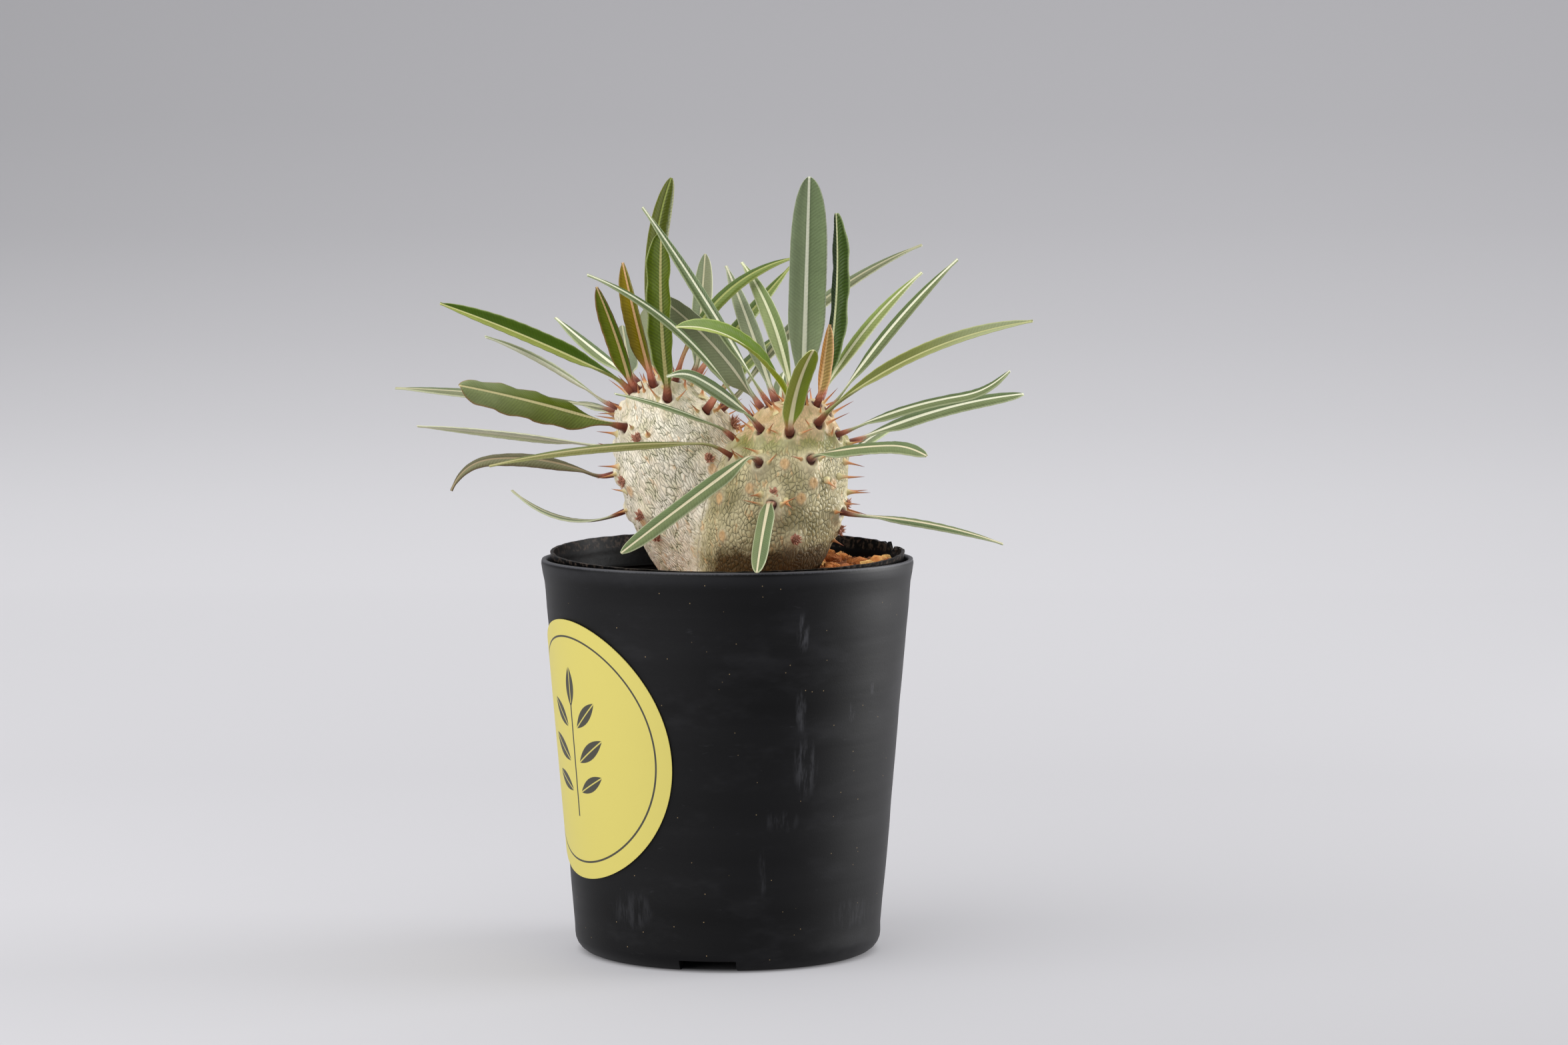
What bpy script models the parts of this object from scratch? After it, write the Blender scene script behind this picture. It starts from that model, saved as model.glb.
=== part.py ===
"""Potted pachypodium: a two-headed swollen stem with spines and strap leaves,
in a thin liner pot inside a round plastic pot that carries a plain round label.

Run with: blender --background --python part.py
Metres, +Z up, -Y to the front, origin on the surface that the pot stands on, under
the middle of the box round the pot and its leaves.
"""

import math
import random
from typing import NamedTuple

import bmesh
import bpy
from mathutils import Matrix, Vector, noise
from mathutils.bvhtree import BVHTree

MM = 0.001
GAP = 0.3 * MM
MERGE = 0.00001
SHARP_ANGLE = 40

# The pot's axis stands here, because the leaves reach further to the left and back
POT_AXIS = Vector((5.3, -7.9, 0)) * MM

# Outer pot
POT_HEIGHT = 95 * MM
RIM_RADIUS = 45 * MM
RIM_DEPTH = 2.5 * MM
RIM_ROUND = 0.8 * MM
RIM_UNDERCUT = 0.6 * MM
RIM_FLARE = 0.5 * MM
WALL_TOP_RADIUS = 44.5 * MM
WALL_TOP = POT_HEIGHT - RIM_DEPTH
FOOT_RADIUS = 37 * MM
FOOT_CORNER = 4.5 * MM
FOOT_RING = 2.5 * MM
POT_WALL = 1.5 * MM
POT_FLOOR_TOP = 5 * MM
POT_FLOOR_UNDER = 3.4 * MM
POT_INNER_CORNER = 1.2 * MM
DRAIN_RADIUS = 6 * MM
TURN_STEPS = 36
NOTCH_COUNT = 3
NOTCH_TURN = -97
NOTCH_WIDTH = 13.5 * MM
NOTCH_HEIGHT = 2.8 * MM
NOTCH_REACH = 14 * MM

# Liner pot, nested in the outer pot, with a rim that was cut on a slope
LINER_WALL = 0.8 * MM
LINER_SIDE_GAP = 0.9 * MM
LINER_CORNER = 2 * MM
LINER_RIM_FRONT = 95.1 * MM
LINER_RIM_BACK = 98.3 * MM
LINER_RIDGE_DROP = 6.5 * MM
LINER_RIDGE = 0.5 * MM
LINER_DRAIN_RADIUS = 5 * MM
SLOPE_START = 80 * MM

# Soil
SOIL_LEVEL = 88.5 * MM
SOIL_MOUND = 4.5 * MM
MOUND_START = -10 * MM
MOUND_RUN = 45 * MM
MOUND_BACKWARD = 0.2
SOIL_RIPPLE = 1.2 * MM
RIPPLES_PER_METRE = 90
SOIL_CORNER = 2.5 * MM
SOIL_STEPS = 28
SOIL_RINGS = 5
GRAIN_COUNT = 32
GRAIN_SIZE = (1.5 * MM, 2.6 * MM)
GRAIN_WIDTH = (0.7, 1.1)
GRAIN_FLATNESS = 0.75
GRAIN_REACH = (0.45, 0.9)
GRAIN_SEED = 11
ROOT_CLEARANCE = 0.6 * MM

# Label
LABEL_RADIUS = 31 * MM
LABEL_THICK = 0.3 * MM
LABEL_TURN = -151
LABEL_CENTRE = 51 * MM
LABEL_CELLS = 8

# Stem
STEM_VOXEL = 1.1 * MM
STEM_FACES = 950
STEM_SEED = 3
STEM_SMOOTHING = 14
LOBE_SEGMENTS = 36
LOBE_RINGS = 24

# Bumps that carry the leaves, and the spines that stand in pairs beside them
SEAT_BASE = 2.3 * MM
SEAT_TOP = 1.2 * MM
SEAT_HEIGHT = 1.4 * MM
SEAT_SINK = 1.2 * MM
SPINE_BASE = 0.55 * MM
SPINE_SINK = 1.3 * MM
SPINE_LENGTH = (5 * MM, 7 * MM)
SPINE_SPLAY = 42
SPINE_SPLAY_SPREAD = 8
SPINE_UPWARD = (-0.12, 0.25)
SPINE_OFFSET = 1.9 * MM
SPINE_SEED = 5
BUD_RADIUS = 1.3 * MM
BUD_STAND = 0.4 * MM
GOLDEN_TURN = 137.5
SCAR_COUNT = 12
SCAR_SPACING = 5.5 * MM
SCAR_SPLAY = 24
SCAR_TOP_LIFT = 48
SCAR_LIFT_SPAN = 78
SCAR_LIFT_CYCLE = 97
SCAR_TRIES = 400
SCAR_MOST_REACH = 1.6
SCAR_FRONT_LIMIT = -0.1

# Leaf
LEAF_THICK = 1.0 * MM
MARGIN_SHARE = 0.65
PETIOLE_WIDTH = 1.5 * MM
SWELL_POWER = 0.7
BEND_SHARE = 0.14
CURL_START = 0.65
TWIST_SHARE = 0.35
LIFT_SHARE = 0.3
WAVE_RATE = 31
WAVE_SKEW = 2
LEAF_STATIONS = 10
STATION_CROWDING = 0.07
LEAF_STEPS = 60


class Head(NamedTuple):
    """One swollen lobe of the stem: an egg whose axis leans as it rises."""

    heart: Vector
    girth: float
    rise: float
    drop: float
    lean: tuple


class LeafForm(NamedTuple):
    """Outline and cross-section that leaves of one kind share."""

    columns: int
    swell: float
    tip_start: float
    tip_power: float
    tip_round: float
    edge_lift: float


class Leaf(NamedTuple):
    """A leaf's seat as angles seen from its head's heart, and how its blade runs (degrees, mm)."""

    head: str
    seat: tuple
    turn: float
    rise: float
    length: float
    width: float
    form: LeafForm
    droop: float = 0
    sweep: float = 0
    curl: float = 0
    roll: float = 0
    wave: float = 0


LEFT = Head(Vector((-10.8, 6.5, 116)) * MM, 16.3 * MM, 22 * MM, 34 * MM, (-0.2, 0.08))
RIGHT = Head(Vector((11.5, -6, 107)) * MM, 16.7 * MM, 26.5 * MM, 27 * MM, (0.24, 0.0))
ROOT = Head(Vector((1, 0, 84)) * MM, 13 * MM, 14 * MM, 26 * MM, (0.0, 0.0))
HEADS = {"left": LEFT, "right": RIGHT}

BLADE = LeafForm(4, 0.4, 0.55, 3.2, 0.5, -0.12)
STRAP = LeafForm(2, 0.45, 0.5, 1.8, 0.8, 0.12)
YOUNG = LeafForm(2, 0.35, 0.55, 2.0, 0.65, -0.15)
FOLDED = LeafForm(2, 0.4, 0.5, 2.3, 0.7, 0.3)
TONGUE = LeafForm(2, 0.3, 0.68, 2.4, 0.5, 0.1)
PADDLE = LeafForm(4, 0.35, 0.78, 2.6, 0.5, -0.12)

# Turn 0 is +X, 90 is away from the front. Rise 90 is straight up.
LEAVES = (
    Leaf("left", (-166, 56), -158, 23, 53, 5.2, FOLDED, droop=8, roll=-50),
    Leaf("left", (175, 44), -140, 26, 42, 2.6, STRAP, droop=22, roll=-50),
    Leaf("left", (157, 57), 123, 21, 40, 3.2, STRAP, droop=-4, roll=-20),
    Leaf("left", (-149, 34), -146, 14, 46, 7.3, BLADE, droop=6, roll=-65, wave=0.5),
    Leaf("left", (161, 40), 158, 4, 60, 3.6, STRAP, droop=6, roll=-35),
    Leaf("left", (150, 36), 104, 2, 44, 4.0, STRAP, droop=9),
    Leaf("left", (162, 17), 160, 5, 52, 3.4, STRAP, droop=5, roll=33),
    Leaf("left", (174, -4), -174, 4, 43, 4.0, STRAP, droop=50, curl=45, roll=-45),
    Leaf("left", (170, -37), 140, 7, 38, 2.2, STRAP, droop=-50, roll=-10),
    Leaf("left", (-159, 60), -124, 60, 29, 4.8, YOUNG, droop=12),
    Leaf("left", (-147, 68), -130, 70, 31, 5.0, YOUNG, droop=-5),
    Leaf("left", (-112, 61), -117, 85, 40, 6.0, PADDLE, droop=-22, wave=0.4),
    Leaf("left", (152, 76), 31, 88, 48, 4.8, BLADE, droop=41, roll=50),
    Leaf("left", (78, 77), 87, 43, 43, 4.6, BLADE),
    Leaf("left", (-131, 82), 24, 42, 45, 3.4, STRAP, droop=66, roll=40),
    Leaf("left", (28, 82), 50, 36, 44, 3.4, STRAP, roll=35),
    Leaf("left", (-56, 56), 62, 23, 44, 3.2, STRAP, droop=13, roll=20),
    Leaf("left", (-16, 57), 33, 35, 69, 3.4, STRAP, droop=30, sweep=-34, roll=40),
    Leaf("left", (130, 66), 96, 25, 36, 6.5, BLADE),
    Leaf("left", (148, 58), 95, 16, 42, 5.0, BLADE),
    Leaf("left", (95, 46), 95, 8, 48, 4.0, STRAP, droop=20),
    Leaf("left", (58, 20), 75, -6, 46, 3.6, STRAP, droop=10),
    Leaf("left", (118, 12), 100, -2, 45, 3.4, STRAP, droop=12),
    Leaf("right", (-150, 88), -148, 54, 58, 3.4, STRAP, droop=7, roll=-80),
    Leaf("right", (172, 77), -151, 39, 56, 2.8, STRAP, droop=40, roll=-57),
    Leaf("right", (-110, 65), -132, 26, 35, 3.8, STRAP, droop=24, curl=25, roll=-75),
    Leaf("right", (180, 61), -142, 17, 36, 3.0, STRAP, droop=13, roll=-25),
    Leaf("right", (-148, 48), -164, -4, 59, 3.0, STRAP, droop=16, roll=-30),
    Leaf("right", (-105, 41), -144, -30, 46, 4.0, TONGUE, droop=2, roll=-45),
    Leaf("right", (-92, 8), -96, -28, 32, 3.7, TONGUE, droop=18),
    Leaf("right", (140, 82), 172, 47, 37, 8.0, BLADE, droop=24, roll=65),
    Leaf("right", (-62, 72), -141, 29, 42, 6.0, FOLDED, droop=66, roll=-40),
    Leaf("right", (80, 80), 116, 50, 42, 4.4, STRAP, droop=10, roll=-15),
    Leaf("right", (45, 76), 123, 55, 40, 4.2, STRAP, droop=40, roll=-25),
    Leaf("right", (-36, 72), -80, 81, 54, 8.5, BLADE),
    Leaf("right", (13, 68), 66, 80, 46, 4.9, BLADE, droop=-40, roll=-15, wave=0.3),
    Leaf("right", (-26, 67), 21, 82, 19, 3.2, YOUNG, roll=40),
    Leaf("right", (-73, 57), -65, 56, 25, 5.2, TONGUE, droop=40),
    Leaf("right", (32, 63), 29, 47, 44, 3.2, STRAP, droop=24, roll=40),
    Leaf("right", (-20, 61), -30, 47, 50, 3.2, STRAP, droop=16, roll=76),
    Leaf("right", (-42, 57), -22, 24, 60, 3.8, FOLDED, droop=32, roll=52),
    Leaf("right", (-24, 49), -23, 14, 46, 3.0, TONGUE, droop=24, curl=-38, roll=45),
    Leaf("right", (6, 43), 26, 13, 48, 3.6, TONGUE, droop=18, roll=45),
    Leaf("right", (30, 36), 73, 7, 42, 3.4, STRAP, droop=12),
    Leaf("right", (-58, 39), -46, 6, 40, 4.0, TONGUE, droop=14, curl=18, roll=38),
    Leaf("right", (-24, 0), 18, -11, 41, 2.8, STRAP, droop=17, roll=35),
    Leaf("right", (82, 58), 88, 12, 50, 4.0, STRAP, droop=20),
    Leaf("right", (72, 22), 80, 0, 47, 3.6, STRAP, droop=12),
)

# Dried bud clusters, as seat angles
BUDS = (
    ("left", (-132, 27)),
    ("left", (-66, 12)),
    ("left", (-151, -9)),
    ("left", (-131, -36)),
    ("left", (-14, 42)),
    ("left", (-115, -48)),
    ("left", (120, -12)),
    ("right", (-152, 21)),
    ("right", (-91, 17)),
    ("right", (-73, -21)),
    ("right", (-12, 6)),
    ("right", (-12, -16)),
    ("right", (60, -5)),
)


class Spine(NamedTuple):
    """A spine on its own: its seat angles, the way it points and its length (degrees, mm)."""

    head: str
    seat: tuple
    turn: float
    rise: float
    length: float


LONE_SPINES = (
    Spine("right", (-107, 49), -150, 21, 5.0),
    Spine("right", (-17, 34), -20, -9, 5.0),
    Spine("right", (-28, 26), -22, -2, 6.5),
    Spine("right", (-18, 6), -20, 4, 4.5),
    Spine("right", (-81, 10), -70, -21, 4.0),
    Spine("right", (-103, 16), -130, 2, 4.5),
    Spine("right", (-15, -26), -40, -20, 3.5),
    Spine("right", (-44, 24), -56, -22, 4.0),
    Spine("left", (-123, 31), -92, 23, 4.0),
    Spine("left", (-170, 28), -160, 11, 5.0),
    Spine("left", (-165, 3), -175, 0, 5.0),
    Spine("left", (-155, -18), -178, 2, 3.5),
)


def new_object(name, mesh, collection):
    made = bpy.data.objects.new(name, mesh)
    collection.objects.link(made)
    return made


def mesh_from(name, bm):
    mesh = bpy.data.meshes.new(name)
    bm.to_mesh(mesh)
    bm.free()
    return mesh


def apply_modifiers(made):
    """Works the object's modifiers into its own mesh."""
    graph = bpy.context.evaluated_depsgraph_get()
    made.data = bpy.data.meshes.new_from_object(made.evaluated_get(graph))
    made.modifiers.clear()


def boolean(made, name, operation, other):
    """Adds a Boolean whose other side is one object, or all of a collection."""
    step = made.modifiers.new(name, "BOOLEAN")
    step.operation = operation
    if isinstance(other, bpy.types.Collection):
        step.operand_type = "COLLECTION"
        step.collection = other
    else:
        step.object = other


def remove_all(objects):
    for used in list(objects):
        bpy.data.objects.remove(used)


def material(name, colour, roughness):
    made = bpy.data.materials.new(name)
    made.use_nodes = True
    shader = made.node_tree.nodes["Principled BSDF"]
    shader.inputs["Base Color"].default_value = (*colour, 1)
    shader.inputs["Roughness"].default_value = roughness
    made.diffuse_color = (*colour, 1)
    return made


def finish(made, paint):
    """Gives the object its material and smooth shading with sharp edges kept."""
    made.data.materials.clear()
    made.data.materials.append(paint)
    made.data.shade_smooth()
    made.data.set_sharp_from_angle(angle=math.radians(SHARP_ANGLE))


def heading(turn, rise):
    """Unit vector for a turn about Z and a rise above level, in degrees."""
    turn = math.radians(turn)
    rise = math.radians(rise)
    flat = math.cos(rise)
    return Vector((flat * math.cos(turn), flat * math.sin(turn), math.sin(rise)))


def smooth_step(value):
    value = min(max(value, 0), 1)
    return value * value * (3 - 2 * value)


def turned(name, profile, collection, steps=TURN_STEPS):
    """A closed profile of (radius, height) points, turned about Z."""
    bm = bmesh.new()
    ring = [bm.verts.new((radius, 0, height)) for radius, height in profile]
    for start, end in zip(ring, ring[1:] + ring[:1]):
        bm.edges.new((start, end))
    made = new_object(name, mesh_from(name, bm), collection)
    screw = made.modifiers.new("turn", "SCREW")
    screw.steps = steps
    screw.render_steps = steps
    screw.use_merge_vertices = True
    screw.merge_threshold = MERGE
    return made


def wall_radius(height):
    """The outer pot's outer radius on its tapering wall."""
    share = (height - FOOT_CORNER) / (WALL_TOP - FOOT_CORNER)
    return FOOT_RADIUS + share * (WALL_TOP_RADIUS - FOOT_RADIUS)


def liner_radius(height):
    """The liner pot's outer radius, a side gap inside the outer pot's wall."""
    return wall_radius(height) - POT_WALL - LINER_SIDE_GAP


def lobe_mesh(name, head):
    """A UV sphere stretched and leaned to the head's egg."""
    bm = bmesh.new()
    bmesh.ops.create_uvsphere(bm, u_segments=LOBE_SEGMENTS, v_segments=LOBE_RINGS, radius=1)
    for vert in bm.verts:
        height = vert.co.z * (head.rise if vert.co.z > 0 else head.drop)
        across = Vector((vert.co.x, vert.co.y, 0)) * head.girth
        shift = Vector((head.lean[0] * height, head.lean[1] * height, height))
        vert.co = head.heart + across + shift
    return mesh_from(name, bm)


def stem_body(collection):
    """Both heads and the taproot joined, then smoothed where they meet."""
    body = new_object("caudex", lobe_mesh("caudex", ROOT), collection)
    lobes = [new_object(name, lobe_mesh(name, head), collection) for name, head in HEADS.items()]
    for lobe in lobes:
        boolean(body, lobe.name, "UNION", lobe)
    skin = body.modifiers.new("skin", "REMESH")
    skin.mode = "VOXEL"
    skin.voxel_size = STEM_VOXEL
    soften = body.modifiers.new("soften", "SMOOTH")
    soften.factor = 0.5
    soften.iterations = STEM_SMOOTHING
    apply_modifiers(body)
    remove_all(lobes)
    bpy.ops.object.select_all(action="DESELECT")
    body.select_set(True)
    bpy.context.view_layer.objects.active = body
    bpy.ops.object.quadriflow_remesh(target_faces=STEM_FACES, seed=STEM_SEED)
    return body


def surface_of(body):
    return BVHTree.FromObject(body, bpy.context.evaluated_depsgraph_get())


def seat_on(surface, head_name, seat):
    """Point and outward normal where a ray from the head's heart leaves the stem."""
    point, normal, _, _ = surface.ray_cast(HEADS[head_name].heart, heading(*seat))
    if normal.dot(heading(*seat)) < 0:
        normal = -normal
    return point, normal


def toward(point, direction):
    """A matrix that stands local +Z along the direction at the point."""
    return Matrix.Translation(point) @ direction.to_track_quat("Z", "X").to_matrix().to_4x4()


def cone(name, sides, base, top, length, place, collection):
    bm = bmesh.new()
    bmesh.ops.create_cone(bm, cap_ends=True, segments=sides, radius1=base, radius2=top, depth=length)
    bmesh.ops.remove_doubles(bm, verts=bm.verts, dist=MERGE)
    bmesh.ops.translate(bm, verts=bm.verts, vec=(0, 0, length / 2))
    made = new_object(name, mesh_from(name, bm), collection)
    made.data.transform(place)
    return made


def seat_bump(point, normal, collection):
    foot = point - normal * SEAT_SINK
    length = SEAT_HEIGHT + SEAT_SINK
    cone("seat", 6, SEAT_BASE, SEAT_TOP, length, toward(foot, normal), collection)


def distance_to_line(spot, foot, tip):
    """Distance from a spot to the straight run between two ends."""
    run = tip - foot
    share = min(max((spot - foot).dot(run) / run.length_squared, 0), 1)
    return (spot - foot - run * share).length


def spine_pair(point, normal, draw, midribs, collection, splay=SPINE_SPLAY):
    """Two spines that lean apart beside a seat or scar, where no leaf is in their way."""
    across = normal.cross(Vector((0, 0, 1))).normalized()
    for hand in (-1, 1):
        reach = draw.uniform(*SPINE_LENGTH)
        lean = math.radians(splay + draw.uniform(-SPINE_SPLAY_SPREAD, SPINE_SPLAY_SPREAD))
        tip = (normal * math.cos(lean) + across * hand * math.sin(lean)).normalized()
        tip = (tip + Vector((0, 0, draw.uniform(*SPINE_UPWARD)))).normalized()
        foot = point + across * hand * SPINE_OFFSET - tip * SPINE_SINK
        end = foot + tip * (reach + SPINE_SINK)
        if any(distance_to_line(spot, foot, end) < room for spot, room in midribs):
            continue
        cone("spine", 4, SPINE_BASE, 0, reach + SPINE_SINK, toward(foot, tip), collection)


def lone_spine(surface, spine, collection):
    point, _ = seat_on(surface, spine.head, spine.seat)
    ahead = heading(spine.turn, spine.rise)
    length = spine.length * MM + SPINE_SINK
    cone("spine", 4, SPINE_BASE, 0, length, toward(point - ahead * SPINE_SINK, ahead), collection)


def old_scars(surface, seats):
    """Golden-angle spots on the sides and back of both heads, clear of seats and each other."""
    found = []
    for index in range(SCAR_TRIES):
        name = ("left", "right")[index % 2]
        lift = SCAR_TOP_LIFT - SCAR_LIFT_SPAN * (index % SCAR_LIFT_CYCLE) / SCAR_LIFT_CYCLE
        seat = (index // 2 * GOLDEN_TURN, lift)
        point, normal = seat_on(surface, name, seat)
        crowded = any((point - other).length < SCAR_SPACING for other, _ in seats + found)
        inside = (point - HEADS[name].heart).length > SCAR_MOST_REACH * HEADS[name].girth
        if not crowded and not inside and normal.y > SCAR_FRONT_LIMIT:
            found.append((point, normal))
        if len(found) == SCAR_COUNT:
            break
    return found


def bud_bump(point, normal, collection):
    bm = bmesh.new()
    bmesh.ops.create_icosphere(bm, subdivisions=1, radius=BUD_RADIUS)
    made = new_object("bud", mesh_from("bud", bm), collection)
    made.data.transform(toward(point + normal * BUD_STAND, normal))


def midrib_spots(seats):
    """Points along every leaf, each with the room that a spine leaves round it."""
    spots = []
    for leaf, (point, normal) in zip(LEAVES, seats):
        frames = leaf_frames(leaf, point + normal * (SEAT_HEIGHT + GAP), normal)
        for index, (spot, _, _) in enumerate(frames):
            half = blade_width(leaf, index / LEAF_STEPS) / 2
            spots.append((spot, half + SPINE_BASE + GAP))
    return spots


def add_growths(body, surface, seats, growths):
    """Fuses the seats, buds and spines into the stem with one union."""
    draw = random.Random(SPINE_SEED)
    midribs = midrib_spots(seats)
    buds = [seat_on(surface, *bud) for bud in BUDS]
    for point, normal in seats:
        seat_bump(point, normal, growths)
        spine_pair(point, normal, draw, midribs, growths)
    for point, normal in buds:
        bud_bump(point, normal, growths)
    for point, normal in old_scars(surface, seats + buds):
        spine_pair(point, normal, draw, midribs, growths, splay=SCAR_SPLAY)
    for spine in LONE_SPINES:
        lone_spine(surface, spine, growths)
    boolean(body, "growths", "UNION", growths)
    apply_modifiers(body)
    remove_all(growths.objects)


def blade_width(leaf, share):
    """Full width at a share of the leaf's length: petiole, swell, then a rounded tip."""
    form = leaf.form
    full = leaf.width * MM
    body = smooth_step(share / form.swell) ** SWELL_POWER
    if share > form.tip_start:
        past = (share - form.tip_start) / (1 - form.tip_start)
        body *= max(1 - past**form.tip_power, 0) ** form.tip_round
    return max(full * body, PETIOLE_WIDTH * (1 - 0.5 * share))


def leaf_heading(leaf, share, normal):
    """Direction of the midrib: out of its seat at first, then along the leaf's own bend."""
    rise = leaf.rise + leaf.droop * (0.5 - share)
    rise -= leaf.curl * smooth_step((share - CURL_START) / (1 - CURL_START))
    turn = leaf.turn + leaf.sweep * (share - 0.5)
    own = heading(turn, rise)
    mixed = normal.lerp(own, smooth_step(share / BEND_SHARE))
    side = Vector((-math.sin(math.radians(turn)), math.cos(math.radians(turn)), 0))
    return mixed.normalized(), side


def leaf_frames(leaf, start, normal):
    """Midrib points with their side and upward vectors at small even steps."""
    frames = []
    point = start.copy()
    for step in range(LEAF_STEPS + 1):
        share = step / LEAF_STEPS
        ahead, side = leaf_heading(leaf, share, normal)
        side = (side - ahead * side.dot(ahead)).normalized()
        twist = math.radians(leaf.roll) * smooth_step(share / TWIST_SHARE)
        side = Matrix.Rotation(twist, 3, ahead) @ side
        frames.append((point.copy(), side, ahead.cross(side)))
        point += ahead * (leaf.length * MM / LEAF_STEPS)
    return frames


def shape_blade(bm, leaf, frames):
    """Moves a flat grid, 2 wide and 2 long, onto the leaf's midrib and outline."""
    for vert in bm.verts:
        across = vert.co.x
        even = (vert.co.y + 1) / 2
        share = even - STATION_CROWDING * math.sin(2 * math.pi * even)
        point, side, up = frames[round(share * LEAF_STEPS)]
        half = blade_width(leaf, share) / 2
        ripple = leaf.wave * MM * math.sin(share * WAVE_RATE + across * WAVE_SKEW) * across * across
        spread = smooth_step(share / LIFT_SHARE)
        lift = leaf.form.edge_lift * half * 2 * across * across + ripple * spread
        vert.co = point + side * across * half + up * lift


def make_leaf(name, leaf, seat, collection):
    point, normal = seat
    start = point + normal * (SEAT_HEIGHT + GAP)
    bm = bmesh.new()
    bmesh.ops.create_grid(bm, x_segments=leaf.form.columns, y_segments=LEAF_STATIONS, size=1)
    margin = [vert.index for vert in bm.verts if abs(vert.co.x) > 0.9 and vert.co.y > -0.5]
    shape_blade(bm, leaf, leaf_frames(leaf, start, normal))
    bmesh.ops.triangulate(bm, faces=bm.faces, quad_method="FIXED")
    made = new_object(name, mesh_from(name, bm), collection)
    flesh = made.vertex_groups.new(name="flesh")
    flesh.add(range(len(made.data.vertices)), 1, "REPLACE")
    flesh.add(margin, MARGIN_SHARE, "REPLACE")
    thicken = made.modifiers.new("thicken", "SOLIDIFY")
    thicken.thickness = LEAF_THICK
    thicken.offset = 0
    thicken.vertex_group = "flesh"
    return made


def corner_arc(radius, height, size, start, end, count):
    """Points on a round corner about (radius, height), from one angle to another."""
    angles = [math.radians(start + (end - start) * step / count) for step in range(count + 1)]
    return [(radius + size * math.cos(a), height + size * math.sin(a)) for a in angles]


def outer_pot(collection, cutters):
    """The round pot with a rolled rim, a foot ring with notches, and a drain hole."""
    inner_top = WALL_TOP_RADIUS - POT_WALL
    inner_foot = wall_radius(POT_FLOOR_TOP) - POT_WALL
    foot = FOOT_RADIUS - FOOT_CORNER
    profile = [(RIM_RADIUS - RIM_ROUND, POT_HEIGHT), (RIM_RADIUS, POT_HEIGHT - RIM_ROUND)]
    profile += [(RIM_RADIUS, WALL_TOP + RIM_UNDERCUT), (WALL_TOP_RADIUS, WALL_TOP)]
    profile += [(wall_radius(POT_HEIGHT / 2), POT_HEIGHT / 2)]
    profile += corner_arc(foot, FOOT_CORNER, FOOT_CORNER, 0, -90, 4)
    profile += [(foot - FOOT_RING, 0), (foot - FOOT_RING - RIM_UNDERCUT, POT_FLOOR_UNDER)]
    profile += [(DRAIN_RADIUS, POT_FLOOR_UNDER), (DRAIN_RADIUS, POT_FLOOR_TOP)]
    profile += [(inner_foot - POT_INNER_CORNER, POT_FLOOR_TOP)]
    profile += [(inner_foot, POT_FLOOR_TOP + POT_INNER_CORNER)]
    profile += [(inner_top, WALL_TOP), (inner_top + RIM_FLARE, POT_HEIGHT - RIM_ROUND / 2)]
    pot = turned("outer_pot", profile, collection)
    for index in range(NOTCH_COUNT):
        add_notch(pot, NOTCH_TURN + index * 360 / NOTCH_COUNT, cutters)
    return pot


def add_notch(pot, turn, cutters):
    """Cuts a low gap through the foot ring at the given turn."""
    bm = bmesh.new()
    bmesh.ops.create_cube(bm, size=1)
    bmesh.ops.scale(bm, verts=bm.verts, vec=(NOTCH_REACH, NOTCH_WIDTH, 2 * NOTCH_HEIGHT))
    cutter = new_object("notch_cutter", mesh_from("notch_cutter", bm), cutters)
    cutter.hide_render = True
    cutter.display_type = "WIRE"
    cutter.location = heading(turn, 0) * (FOOT_RADIUS - FOOT_CORNER)
    cutter.rotation_euler.z = math.radians(turn)
    boolean(pot, "notch", "DIFFERENCE", cutter)


def liner_rim(y):
    """Height of the liner's sloping rim at a distance from front to back."""
    share = 0.5 + 0.5 * y / liner_radius(LINER_RIM_FRONT)
    return LINER_RIM_FRONT + share * (LINER_RIM_BACK - LINER_RIM_FRONT)


def liner_pot(collection):
    """The thin pot that holds the soil, with a ridge inside and a rim on a slope."""
    floor = POT_FLOOR_TOP + GAP
    corner = LINER_CORNER
    foot = liner_radius(floor + corner) - corner
    top = LINER_RIM_FRONT
    ridge = top - LINER_RIDGE_DROP
    profile = [(liner_radius(top), top)]
    profile += corner_arc(foot, floor + corner, corner, 0, -90, 2)
    profile += [(LINER_DRAIN_RADIUS, floor), (LINER_DRAIN_RADIUS, floor + LINER_WALL)]
    profile += [(foot, floor + LINER_WALL), (foot + corner - LINER_WALL, floor + corner)]
    profile += [(liner_radius(ridge) - LINER_WALL, ridge - LINER_RIDGE)]
    profile += [(liner_radius(ridge) - LINER_WALL - LINER_RIDGE, ridge)]
    profile += [(liner_radius(ridge) - LINER_WALL, ridge + LINER_RIDGE)]
    profile += [(liner_radius(top) - LINER_WALL, top)]
    liner = turned("liner_pot", profile, collection)
    apply_modifiers(liner)
    for vert in liner.data.vertices:
        share = smooth_step((vert.co.z - SLOPE_START) / (LINER_RIM_FRONT - SLOPE_START))
        vert.co.z += share * (liner_rim(vert.co.y) - LINER_RIM_FRONT)
    return liner


def soil_height(x, y):
    """Top of the soil: mounded to the right, rippled by noise."""
    mound = SOIL_MOUND * smooth_step((x + MOUND_BACKWARD * y - MOUND_START) / MOUND_RUN)
    ripple = SOIL_RIPPLE * noise.noise(Vector((x, y, 0)) * RIPPLES_PER_METRE)
    return SOIL_LEVEL + mound + ripple


def soil_radius(height):
    return liner_radius(height) - LINER_WALL - GAP


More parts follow.
